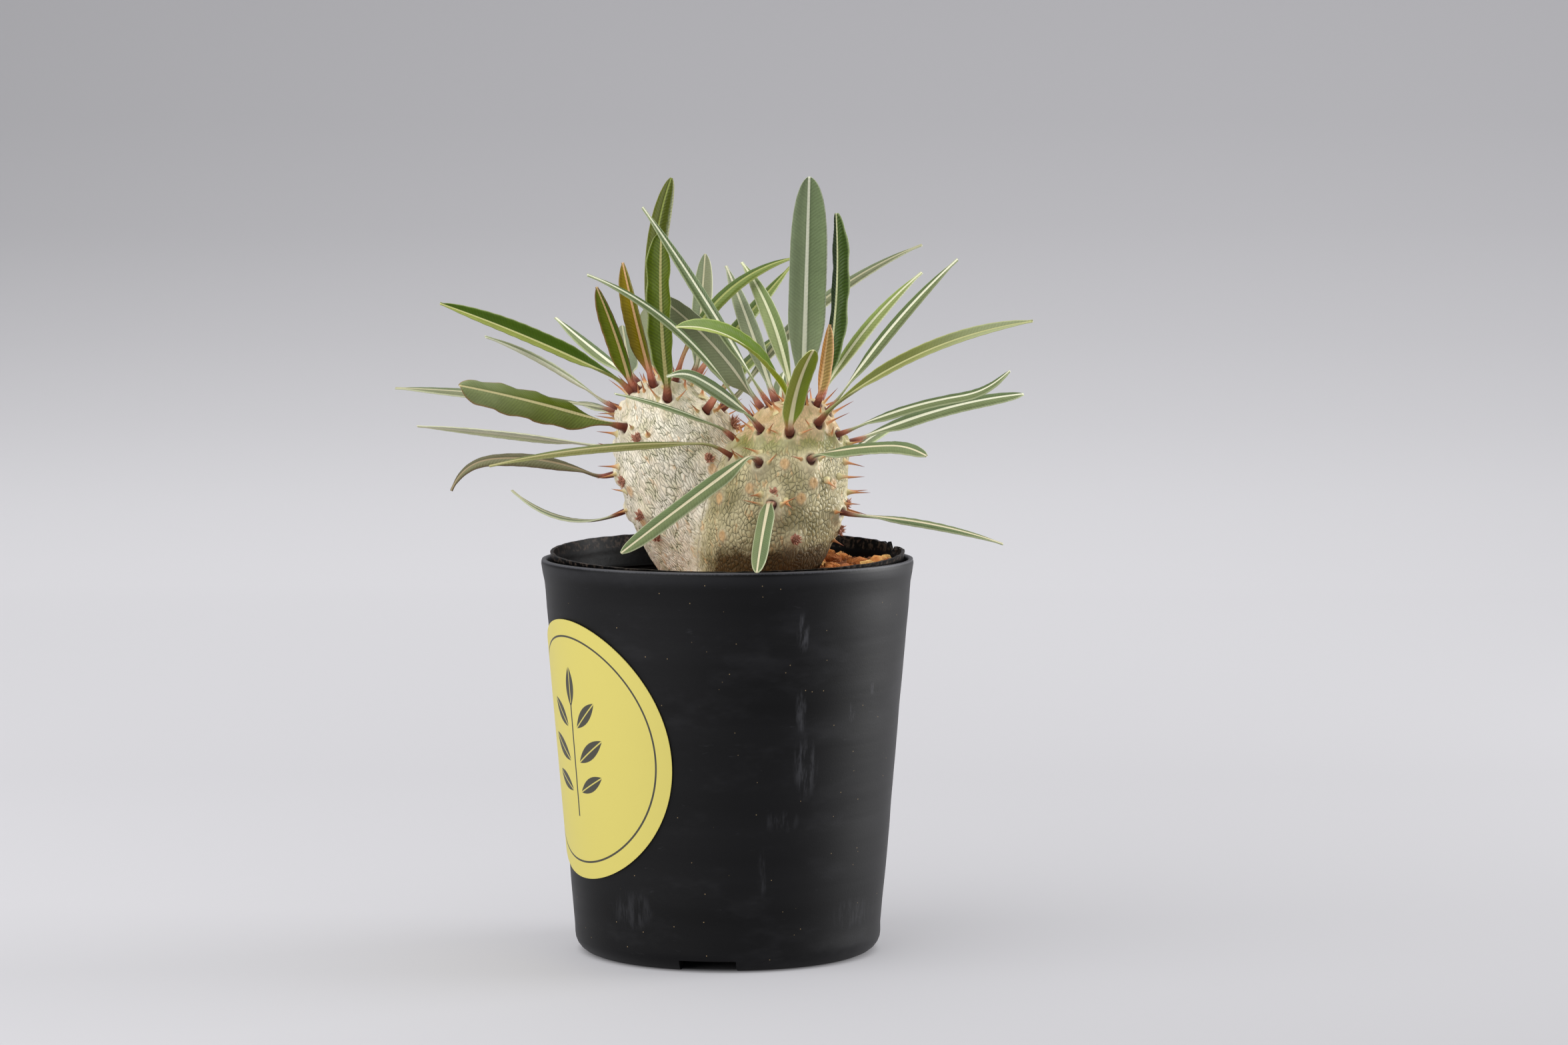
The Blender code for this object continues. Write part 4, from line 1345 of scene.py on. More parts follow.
BUDS = (
    *(("left", seat) for seat in ((-132, 27), (-66, 12), (-151, -9), (-131, -36), (-14, 42), (-115, -48), (120, -12))),
    *(("right", seat) for seat in ((-152, 21), (-91, 17), (-73, -21), (-12, 6), (-12, -16), (60, -5))),
)
LONE_SPINES = (
    LoneSpine("right", (-107, 49), -150, 21, 5),
    LoneSpine("right", (-17, 34), -20, -9, 5),
    LoneSpine("right", (-28, 26), -22, -2, 6.5),
    LoneSpine("right", (-18, 6), -20, 4, 4.5),
    LoneSpine("right", (-81, 10), -70, -21, 4),
    LoneSpine("right", (-103, 16), -130, 2, 4.5),
    LoneSpine("right", (-15, -26), -40, -20, 3.5),
    LoneSpine("right", (-44, 24), -56, -22, 4),
    LoneSpine("left", (-123, 31), -92, 23, 4),
    LoneSpine("left", (-170, 28), -160, 11, 5),
    LoneSpine("left", (-165, 3), -175, 0, 5),
    LoneSpine("left", (-155, -18), -178, 2, 3.5),
)
LEAF_SCARS = (
    *(("right", seat) for seat in ((-81, 39), (-57, 24), (-68, 13), (-37, 22), (-113, 22), (-146, 12), (-137, -17))),
    *(("left", seat) for seat in ((-64, 3), (-144, -17), (-130, -41))),
)


class LeafForm(NamedTuple):
    """Outline and cross-section that leaves of one kind share."""

    swell: float
    tip_start: float
    tip_power: float
    tip_round: float
    edge_lift: float
    corrugation: float
    curl_under: float


BLADE = LeafForm(0.4, 0.55, 3.2, 0.5, -0.12, 0.05, 0.3)
STRAP = LeafForm(0.45, 0.5, 1.8, 0.8, 0.12, 0.03, 0.62)
YOUNG = LeafForm(0.35, 0.55, 2, 0.65, -0.15, 0.03, 0.3)
FOLDED = LeafForm(0.4, 0.5, 2.3, 0.7, 0.3, 0.008, 0.1)
TONGUE = LeafForm(0.3, 0.68, 2.4, 0.5, 0.1, 0.03, 0.5)
PADDLE = LeafForm(0.35, 0.78, 2.6, 0.5, -0.12, 0.06, 0.2)


class Leaf(NamedTuple):
    """A leaf's seat as angles seen from its head's heart, and how its blade runs (degrees, mm)."""

    head: str
    seat: tuple[float, float]
    turn: float
    rise: float
    length: float
    width: float
    form: LeafForm
    tone: Tone
    droop: float = 0
    sweep: float = 0
    curl: float = 0
    roll: float = 0
    wave: float = 0


LEAVES = (
    Leaf("left", (-166, 56), -158, 23, 53, 5.2, FOLDED, Tone.GLOSSY, droop=8, roll=-50),
    Leaf("left", (175, 44), -140, 26, 42, 2.6, STRAP, Tone.IVORY, droop=22, roll=-50),
    Leaf("left", (157, 57), 123, 21, 40, 3.2, STRAP, Tone.STRIPED, droop=-4, roll=-20),
    Leaf("left", (-149, 34), -146, 14, 46, 7.3, BLADE, Tone.BROAD, droop=6, roll=-65, wave=0.5),
    Leaf("left", (161, 40), 158, 4, 60, 3.6, STRAP, Tone.SHADOW, droop=6, roll=-35),
    Leaf("left", (150, 36), 104, 2, 44, 4, STRAP, Tone.SHADOW, droop=9),
    Leaf("left", (162, 17), 160, 5, 52, 3.4, STRAP, Tone.SAND, droop=5, roll=33),
    Leaf("left", (174, -4), -174, 4, 43, 4, STRAP, Tone.BROWN, droop=50, curl=45, roll=-45),
    Leaf("left", (170, -37), 140, 7, 38, 2.2, STRAP, Tone.SHADOW, droop=-50, roll=-10),
    Leaf("left", (-159, 60), -124, 60, 29, 4.8, YOUNG, Tone.DUSKY, droop=12),
    Leaf("left", (-147, 68), -130, 70, 31, 5, YOUNG, Tone.OLIVE, droop=-5),
    Leaf("left", (-112, 61), -117, 85, 40, 6, PADDLE, Tone.WAVY, droop=-22, wave=0.4),
    Leaf("left", (152, 76), 31, 88, 48, 4.8, BLADE, Tone.MOSSY, droop=41, roll=50),
    Leaf("left", (78, 77), 87, 43, 43, 4.6, BLADE, Tone.SHADOW),
    Leaf("left", (-131, 82), 24, 42, 45, 3.4, STRAP, Tone.BACKLIT, droop=66, roll=40),
    Leaf("left", (28, 82), 50, 36, 44, 3.4, STRAP, Tone.BACKLIT, roll=35),
    Leaf("left", (-56, 56), 62, 23, 44, 3.2, STRAP, Tone.BACKLIT, droop=13, roll=20),
    Leaf("left", (-16, 57), 33, 35, 69, 3.4, STRAP, Tone.SHADOW, droop=30, sweep=-34, roll=40),
    Leaf("left", (130, 66), 96, 25, 36, 6.5, BLADE, Tone.SHADOW),
    Leaf("left", (148, 58), 95, 16, 42, 5, BLADE, Tone.SHADOW),
    Leaf("left", (95, 46), 95, 8, 48, 4, STRAP, Tone.STRIPED, droop=20),
    Leaf("left", (58, 20), 75, -6, 46, 3.6, STRAP, Tone.SHADOW, droop=10),
    Leaf("left", (118, 12), 100, -2, 45, 3.4, STRAP, Tone.STRIPED, droop=12),
    Leaf("right", (-150, 88), -148, 54, 58, 3.4, STRAP, Tone.BANDED, droop=7, roll=-80),
    Leaf("right", (172, 77), -151, 39, 56, 2.8, STRAP, Tone.BANDED, droop=40, roll=-57),
    Leaf("right", (-110, 65), -132, 26, 35, 3.8, STRAP, Tone.BANDED, droop=24, curl=25, roll=-75),
    Leaf("right", (180, 61), -142, 17, 36, 3, STRAP, Tone.BANDED, droop=13, roll=-25),
    Leaf("right", (-148, 48), -164, -4, 59, 3, STRAP, Tone.HAY, droop=16, roll=-30),
    Leaf("right", (-105, 41), -144, -30, 46, 4, TONGUE, Tone.ROSY, droop=2, roll=-45),
    Leaf("right", (-92, 8), -96, -28, 32, 3.7, TONGUE, Tone.ROSY, droop=18),
    Leaf("right", (140, 82), 172, 47, 37, 8, BLADE, Tone.SILVER, droop=24, roll=65),
    Leaf("right", (-62, 72), -141, 29, 42, 6, FOLDED, Tone.BRIGHT, droop=66, roll=-40),
    Leaf("right", (80, 80), 116, 50, 42, 4.4, STRAP, Tone.SILVER, droop=10, roll=-15),
    Leaf("right", (45, 76), 123, 55, 40, 4.2, STRAP, Tone.PALE, droop=40, roll=-25),
    Leaf("right", (-36, 72), -80, 81, 54, 8.5, BLADE, Tone.FELT),
    Leaf("right", (13, 68), 66, 80, 46, 4.9, BLADE, Tone.DEEP, droop=-40, roll=-15, wave=0.3),
    Leaf("right", (-26, 67), 21, 82, 19, 3.2, YOUNG, Tone.RUSSET, roll=40),
    Leaf("right", (-73, 57), -65, 56, 25, 5.2, TONGUE, Tone.LIGHT, droop=40),
    Leaf("right", (32, 63), 29, 47, 44, 3.2, STRAP, Tone.MEADOW, droop=24, roll=40),
    Leaf("right", (-20, 61), -30, 47, 50, 3.2, STRAP, Tone.STRIPED, droop=16, roll=76),
    Leaf("right", (-42, 57), -22, 24, 60, 3.8, FOLDED, Tone.SPRING, droop=32, roll=52),
    Leaf("right", (-24, 49), -23, 14, 46, 3, TONGUE, Tone.STRIPED, droop=24, curl=-38, roll=45),
    Leaf("right", (6, 43), 26, 13, 48, 3.6, TONGUE, Tone.STRIPED, droop=18, roll=45),
    Leaf("right", (30, 36), 73, 7, 42, 3.4, STRAP, Tone.STRIPED, droop=12),
    Leaf("right", (-58, 39), -46, 6, 40, 4, TONGUE, Tone.ROSY, droop=14, curl=18, roll=38),
    Leaf("right", (-24, 0), 18, -11, 41, 2.8, STRAP, Tone.ROSY, droop=17, roll=35),
    Leaf("right", (82, 58), 88, 12, 50, 4, STRAP, Tone.STRIPED, droop=20),
    Leaf("right", (72, 22), 80, 0, 47, 3.6, STRAP, Tone.SHADOW, droop=12),
)


class Skin:
    """The stem's bare surface, on which seats, spines and leaves find their places."""

    def __init__(self, body: Piece) -> None:
        """Reads the surface of the smooth body."""
        self.tree = BVHTree.FromObject(body, bpy.context.evaluated_depsgraph_get())

    def seat(self, head: str, angles: tuple[float, float]) -> Spot:
        """Where a ray from a head's heart leaves the stem.

        Args:
            head: left or right.
            angles: the ray's turn and rise in degrees.

        Returns:
            The place and its outward normal.
        """
        ahead = heading(*angles)
        point, normal, _, _ = self.tree.ray_cast(HEADS[head].heart, ahead)
        return Spot(point, normal if normal.dot(ahead) > 0 else -normal)


@dataclass
class SwollenStem:
    """The two-headed stem, its seats, scars, buds and spines."""

    voxel: float = 1.1 * MM
    faces: int = 950
    fine_voxel: float = 0.38 * MM
    body_seed: int = 3
    seat_height: float = 1.5
    tallest: float = 1.7 * MM
    scar_count: int = 12
    scar_tries: int = 400
    scar_gap: float = 5.5 * MM
    scar_reach: float = 1.6
    scar_top: float = 48
    scar_span: float = 78
    scar_cycle: int = 97
    front_limit: float = -0.1
    spine_seed: int = 5
    spin_seed: int = 21
    bud_seed: int = 8
    spine_length: tuple[float, float] = (5 * MM, 7 * MM)
    spine_lift: tuple[float, float] = (-0.12, 0.25)
    spine_offset: float = 1.9 * MM
    spine_sink: float = 1.3 * MM
    spine_root: float = 0.4 * MM
    seat_splay: float = 42
    scar_splay: float = 24
    splay_spread: float = 8
    crown_count: int = 10
    scale_count: int = 44
    spiky_bud: int = 4
    skin: Skin = field(init=False)
    seats: list[Spot] = field(init=False)
    scars: list[Spot] = field(init=False)
    spine_scars: list[Spot] = field(init=False)
    buds: list[Spot] = field(init=False)

    @staticmethod
    def lobe(name: str, head: Head) -> Piece:
        """Stretches and leans a sphere to a head's egg.

        Args:
            name: the piece's name.
            head: the egg's sizes.

        Returns:
            The lobe.
        """
        bpy.ops.mesh.primitive_uv_sphere_add(segments=36, ring_count=24, radius=1)
        lobe = made(name)
        for vert in lobe.data.vertices:
            height = vert.co.z * (head.rise if vert.co.z > 0 else head.drop)
            across = Vector((vert.co.x, vert.co.y, 0)) * head.girth
            vert.co = head.heart + across + Vector((head.lean[0] * height, head.lean[1] * height, height))
        return lobe

    def body(self) -> Piece:
        """Joins both heads and the taproot, and smooths them where they meet.

        Returns:
            The smooth body, which is like the solid before its seats and spines.
        """
        body = self.lobe("stem_body", ROOT)
        lobes = [self.lobe(name, head) for name, head in HEADS.items()]
        for lobe in lobes:
            add_modifier(body, "BOOLEAN", operation="UNION", object=lobe)
        add_modifier(body, "REMESH", mode="VOXEL", voxel_size=self.voxel)
        add_modifier(body, "SMOOTH", factor=0.5, iterations=14)
        apply_modifiers(body)
        for lobe in lobes:
            bpy.data.objects.remove(lobe)
        focus(body)
        bpy.ops.object.quadriflow_remesh(target_faces=self.faces, seed=self.body_seed)
        return body

    def find_places(self, body: Piece) -> None:
        """Finds the seats, scars and buds.

        Args:
            body: the smooth body.
        """
        self.skin = Skin(body)
        self.seats = [self.skin.seat(leaf.head, leaf.seat) for leaf in LEAVES]
        self.scars = [self.skin.seat(*scar) for scar in LEAF_SCARS]
        self.buds = [self.skin.seat(*bud) for bud in BUDS]
        self.spine_scars = []
        taken = self.seats + self.buds
        for index in range(self.scar_tries):
            name = ("left", "right")[index % 2]
            rise = self.scar_top - self.scar_span * (index % self.scar_cycle) / self.scar_cycle
            spot = self.skin.seat(name, (index // 2 * GOLDEN_TURN, rise))
            crowded = any((spot.point - other.point).length < self.scar_gap for other in taken)
            inside = (spot.point - HEADS[name].heart).length > self.scar_reach * HEADS[name].girth
            if not crowded and not inside and spot.normal.y > self.front_limit:
                self.spine_scars.append(spot)
                taken.append(spot)
            if len(self.spine_scars) == self.scar_count:
                break

    @staticmethod
    def around(points: Rows, spot: Spot, below: float = 1) -> tuple[Rows, Rows, Rows]:
        """Distances of points from a spot's axis, in millimetres.

        Args:
            points: rows of points in metres.
            spot: the place and its normal.
            below: a scale under 1 draws the distance in on the lower side.

        Returns:
            The points near enough to matter, their distance, and their sideways offset.
        """
        normal = np.array(spot.normal)
        side = np.cross(normal, (0, 0, 1))
        side /= np.linalg.norm(side) + 1e-9
        up = np.cross(side, normal)
        offset = (points - np.array(spot.point)) / MM
        near = np.flatnonzero((np.abs(offset @ normal) < 5) & (np.linalg.norm(offset, axis=1) < 9))
        offset = offset[near]
        rise = offset @ up
        aside = offset @ side
        rise = np.where(rise < 0, rise * below, rise)
        return near, np.hypot(rise, aside), aside

    def raise_marks(self, points: Rows) -> tuple[Rows, Rows]:
        """Raises seats, scars and bud pads, and notes where they are.

        Args:
            points: the fine body's points in metres.

        Returns:
            The moved points, and rows of scar, socket and calm shares.
        """
        shift = np.zeros_like(points)
        mark = np.zeros_like(points)
        for spot in self.seats:
            near, reach, _ = self.around(points, spot, 0.72)
            collar = 0.34 * hump(reach - 1.75, 0.5)
            lift = self.seat_height * hump(reach, 2.3, 2.2) - 0.9 * hump(reach, 1.2, 6)
            shift[near] += (lift + collar)[:, None] * np.array(spot.normal) * MM
            mark[near, 1] = np.maximum(mark[near, 1], hump(reach, 1.16, 8))
            mark[near, 2] = np.maximum(mark[near, 2], hump(reach, 2.7, 3))
        for spot in self.scars + self.spine_scars:
            near, reach, aside = self.around(points, spot, 0.8)
            lift = 0.3 * hump(reach, 1.5, 6) - 0.22 * hump(reach, 0.7) * (np.abs(aside) < 0.35)
            shift[near] += lift[:, None] * np.array(spot.normal) * MM
            oval = hump(reach, 1.5, 3) * np.where(np.abs(aside) < 0.16, 1, 0.85)
            mark[near, 0] = np.maximum(mark[near, 0], oval)
            mark[near, 2] = np.maximum(mark[near, 2], 0.45 * hump(reach, 1.9, 4))
        for spot in self.buds:
            near, reach, _ = self.around(points, spot, 0.8)
            shift[near] += hump(reach, 1.9, 2.2)[:, None] * np.array(spot.normal) * MM
            mark[near, 2] = np.maximum(mark[near, 2], 0.7 * hump(reach, 2.4))
        length = np.linalg.norm(shift, axis=1)
        shift *= (np.minimum(length, self.tallest) / np.maximum(length, 1e-9))[:, None]
        return points + shift, mark

    @staticmethod
    def map_bark(points: Rows) -> tuple[Rows, Rows, Rows]:
        """Lays the bark's map on the body.

        Args:
            points: the fine body's points in metres.

        Returns:
            Rows of the map in millimetres, rows of right-hand, mossy and crown shares, and how
            near each point is to the smooth seam between the heads.
        """
        best = np.full(len(points), 1e9)
        bark = np.zeros_like(points)
        scores = {}
        for index, (name, head) in enumerate([*HEADS.items(), ("root", ROOT)]):
            rise = points[:, 2] - head.heart.z
            half = np.where(rise > 0, head.rise, head.drop)
            x = points[:, 0] - head.heart.x - head.lean[0] * rise
            y = points[:, 1] - head.heart.y - head.lean[1] * rise
            score = np.hypot(np.hypot(x, y) / head.girth, rise / half)
            turn = np.degrees(np.arctan2(y, x)) - head.seam
            turn = np.radians(np.mod(turn, 360) - 180)
            lift = np.arcsin(np.clip(rise / half, -1, 1)) * (head.girth + half) / 2
            nearer = score < best
            best = np.where(nearer, score, best)
            rows = np.stack([turn * head.girth / MM + index * 200, lift / MM, lift * 0], axis=1)
            bark = np.where(nearer[:, None], rows, bark)
            scores[name] = score
        x, z = points[:, 0] / MM, points[:, 2] / MM
        apart = scores["left"] - scores["right"]
        right = eased(apart / (0.3 + 0.5 * eased((120 - z) / 26)) + 0.5)
        low = eased((105 - z) / 12) * eased((x + 9) / 10)
        crown_left = eased((z - 127) / 10) * (1 - right) * 0.5
        crown_right = eased((z - 116) / 12) * right
        seam = hump(apart + 0.05, 0.12) * eased((110 - z) / 14)
        return bark, np.stack([right, low, crown_left + crown_right], axis=1), seam * (1 - low)

    @staticmethod
    def relief(wrinkles: Wrinkles) -> bpy.types.NodeTree:
        """The modifier's node tree, which presses the crinkles into the body along its normals.

        Args:
            wrinkles: the net that the paint follows too.

        Returns:
            The tree.
        """
        tree = bpy.data.node_groups.new("bark_relief", "GeometryNodeTree")
        tree.interface.new_socket(name="Geometry", in_out="INPUT", socket_type="NodeSocketGeometry")
        tree.interface.new_socket(name="Geometry", in_out="OUTPUT", socket_type="NodeSocketGeometry")
        work = NodeWork(tree)
        named = {"data_type": "FLOAT_VECTOR"}
        place, zone, mark = (
            work.wire(0, "GeometryNodeInputNamedAttribute", named, {0: name}) for name in ("bark", "zone", "mark")
        )
        right, _, crown = work.split(zone)
        bare = (1 - work.split(mark)[2]) * (1 - crown * 0.6)
        edge = wrinkles.edge(work, wrinkles.slanted(work, place), right)
        groove = 1 - work.step(edge, 0.02, 0.24)
        swell = work.noise(place, 0.24, 2) - 0.5
        pebble = work.noise(place, 1.2, 2) - 0.5
        height = (groove * bare * -0.04 + swell * 0.34 * bare + pebble * 0.04) * MM
        normal = work.wire(0, "GeometryNodeInputNormal")
        offset = work.scaled(normal, height)
        start = work.wire(0, "NodeGroupInput")
        moved = work.wire(0, "GeometryNodeSetPosition", {}, {"Geometry": start, "Offset": offset})
        work.node("NodeGroupOutput", {}, {0: moved})
        return tree

    def bark(self, body: Piece) -> None:
        """Makes the fine bark, painted and in place.

        Args:
            body: the smooth body that it lies over.
        """
        bark = copy_at(body, Matrix.Identity(4))
        bark.name = "stem_bark"
        add_modifier(bark, "SUBSURF", levels=2, render_levels=2)
        add_modifier(bark, "REMESH", mode="VOXEL", voxel_size=self.fine_voxel)
        add_modifier(bark, "SMOOTH", factor=0.5, iterations=6)
        apply_modifiers(bark)
        points = points_of(bark.data)
        place, zone, seam = self.map_bark(points)
        moved, mark = self.raise_marks(points)
        # Partly painted highlight: the seam between the heads gets some of the pale collar colour, and fewer crinkles.
        mark[:, 2] = np.maximum(mark[:, 2], seam * 0.5)
        set_points(bark.data, moved)
        write_vectors(bark.data, "bark", place)
        write_vectors(bark.data, "zone", zone)
        write_vectors(bark.data, "mark", mark)
        finish = Bark()
        add_modifier(bark, "NODES", node_group=self.relief(finish.wrinkles))
        apply_modifiers(bark)
        shade(bark)
        finish_piece(bark, finish.mixed(), "stem", "caudex")

    @staticmethod
    def spine_template() -> Piece:
        """Makes one spine along +Z, with a flared foot and a slight bow.

        Returns:
            The spine, 1 long.
        """
        bpy.ops.mesh.primitive_cylinder_add(vertices=10, radius=1, depth=1, location=(0, 0, 0.5))
        spine = made("spine_template")
        bpy.ops.object.transform_apply(location=True)
        with editing(spine):
            for height in (0.06, 0.14, 0.24, 0.4, 0.6, 0.8):
                bpy.ops.mesh.select_all(action="SELECT")
                bpy.ops.mesh.bisect(plane_co=(0, 0, height), plane_no=(0, 0, 1))
        points = points_of(spine.data)
        along = points[:, 2]
        radius = 0.3 * (1 - along) ** 0.8 + 0.8 * hump(along, 0.15, 1.2) + 0.02
        points[:, 0] = points[:, 0] * radius + 0.4 * along * along
        points[:, 1] *= radius
        points *= (MM, MM, 1)
        set_points(spine.data, points)
        write_vectors(spine.data, "spine", np.stack([along, along * 0, along * 0], axis=1))
        return spine

    def spine_places(self, foliage: "Foliage") -> list[tuple[Vector, Vector, float]]:
        """Places every spine, in the order in which the solids draw them.

        Args:
            foliage: the leaves, which spines keep clear of.

        Returns:
            Each spine's foot, direction and length.
        """
        draw = random.Random(self.spine_seed)
        found: list[tuple[Vector, Vector, float]] = []

        def pair(spot: Spot, splay: float) -> None:
            """Adds two spines that lean apart beside a seat, where no leaf is in their way.

            Args:
                spot: the seat or scar.
                splay: how far each leans, in degrees.
            """
            across = spot.normal.cross(Vector((0, 0, 1))).normalized()
            for hand in (-1, 1):
                reach = draw.uniform(*self.spine_length)
                lean = math.radians(splay + draw.uniform(-self.splay_spread, self.splay_spread))
                tip = (spot.normal * math.cos(lean) + across * hand * math.sin(lean)).normalized()
                tip = (tip + Vector((0, 0, draw.uniform(*self.spine_lift)))).normalized()
                foot = spot.point + across * hand * self.spine_offset
                if foliage.clear_of(foot - tip * self.spine_sink, foot + tip * reach):
                    found.append((foot, tip, reach))

        for spot in self.seats:
            pair(spot, self.seat_splay)
        for spot in self.spine_scars:
            pair(spot, self.scar_splay)
        for spine in LONE_SPINES:
            spot = self.skin.seat(spine.head, spine.seat)
            found.append((spot.point, heading(spine.turn, spine.rise), spine.length * MM))
        return found

    def spines(self, foliage: "Foliage") -> None:
        """Makes all the spines as one piece, painted and in place.

        Args:
            foliage: the leaves, which spines keep clear of.
        """
        template = self.spine_template()
        draw = random.Random(self.spin_seed)
        copies = []
        for foot, ahead, reach in self.spine_places(foliage):
            spin = Matrix.Rotation(draw.uniform(0, 2 * math.pi), 4, "Z")
            size = Matrix.Diagonal((1, 1, reach + self.spine_root, 1))
            place = toward(foot - ahead * self.spine_root, ahead) @ spin @ size
            copies.append(copy_at(template, place, draw.random()))
        for head in HEADS:
            copies += self.crown_spines(template, head, draw)
        spines = joined("spines", copies, template)
        shade(spines)
        finish_piece(spines, Horn().mixed(), "stem")

    def crown_spines(self, template: Piece, head: str, draw: random.Random) -> list[Piece]:
        """Makes the young spines that crowd a head's crown between its leaves.

        Args:
            template: the spine that is copied.
            head: left or right.
            draw: where its chances come from.

        Returns:
            The young spines.
        """
        copies = []
        for index in range(self.crown_count):
            spot = self.skin.seat(head, (index * GOLDEN_TURN, 84 - index * 2.2))
            ahead = (spot.normal + Vector((draw.uniform(-0.3, 0.3), draw.uniform(-0.3, 0.3), 0.5))).normalized()
            size = Matrix.Diagonal((1.5, 1.5, draw.uniform(3, 4.8) * MM, 1))
            place = toward(spot.point - ahead * 0.3 * MM, ahead) @ size
            copies.append(copy_at(template, place, draw.uniform(0.3, 0.8)))
        return copies

    def dry_buds(self) -> None:
        """Makes the clusters of shrivelled bud scales as one piece, painted and in place."""
        template = self.spine_template()
        template.data.transform(Matrix.Diagonal((0.7, 0.42, 1, 1)))
        draw = random.Random(self.bud_seed)
        copies = []
        for index, spot in enumerate(self.buds):
            spiky = index == self.spiky_bud
            for _ in range(self.scale_count):
                turn = draw.uniform(0, 360)
                open_by = math.radians(draw.uniform(5, 85))
                across = spot.normal.orthogonal().normalized()
                across = Matrix.Rotation(math.radians(turn), 3, spot.normal) @ across
                ahead = (spot.normal * math.cos(open_by) + across * math.sin(open_by)).normalized()
                foot = spot.point + spot.normal * 0.8 * MM + across * draw.uniform(0, 0.9) * MM
                length = draw.uniform(1.6, 2.8) if spiky else draw.uniform(0.6, 1.4)
                place = toward(foot, ahead) @ Matrix.Diagonal((1, 1, length * MM, 1))
                copies.append(copy_at(template, place, draw.random()))
        buds = joined("dry_buds", copies, template)
        shade(buds)
        finish_piece(buds, DryScale().mixed(), "stem")


# ---- leaves


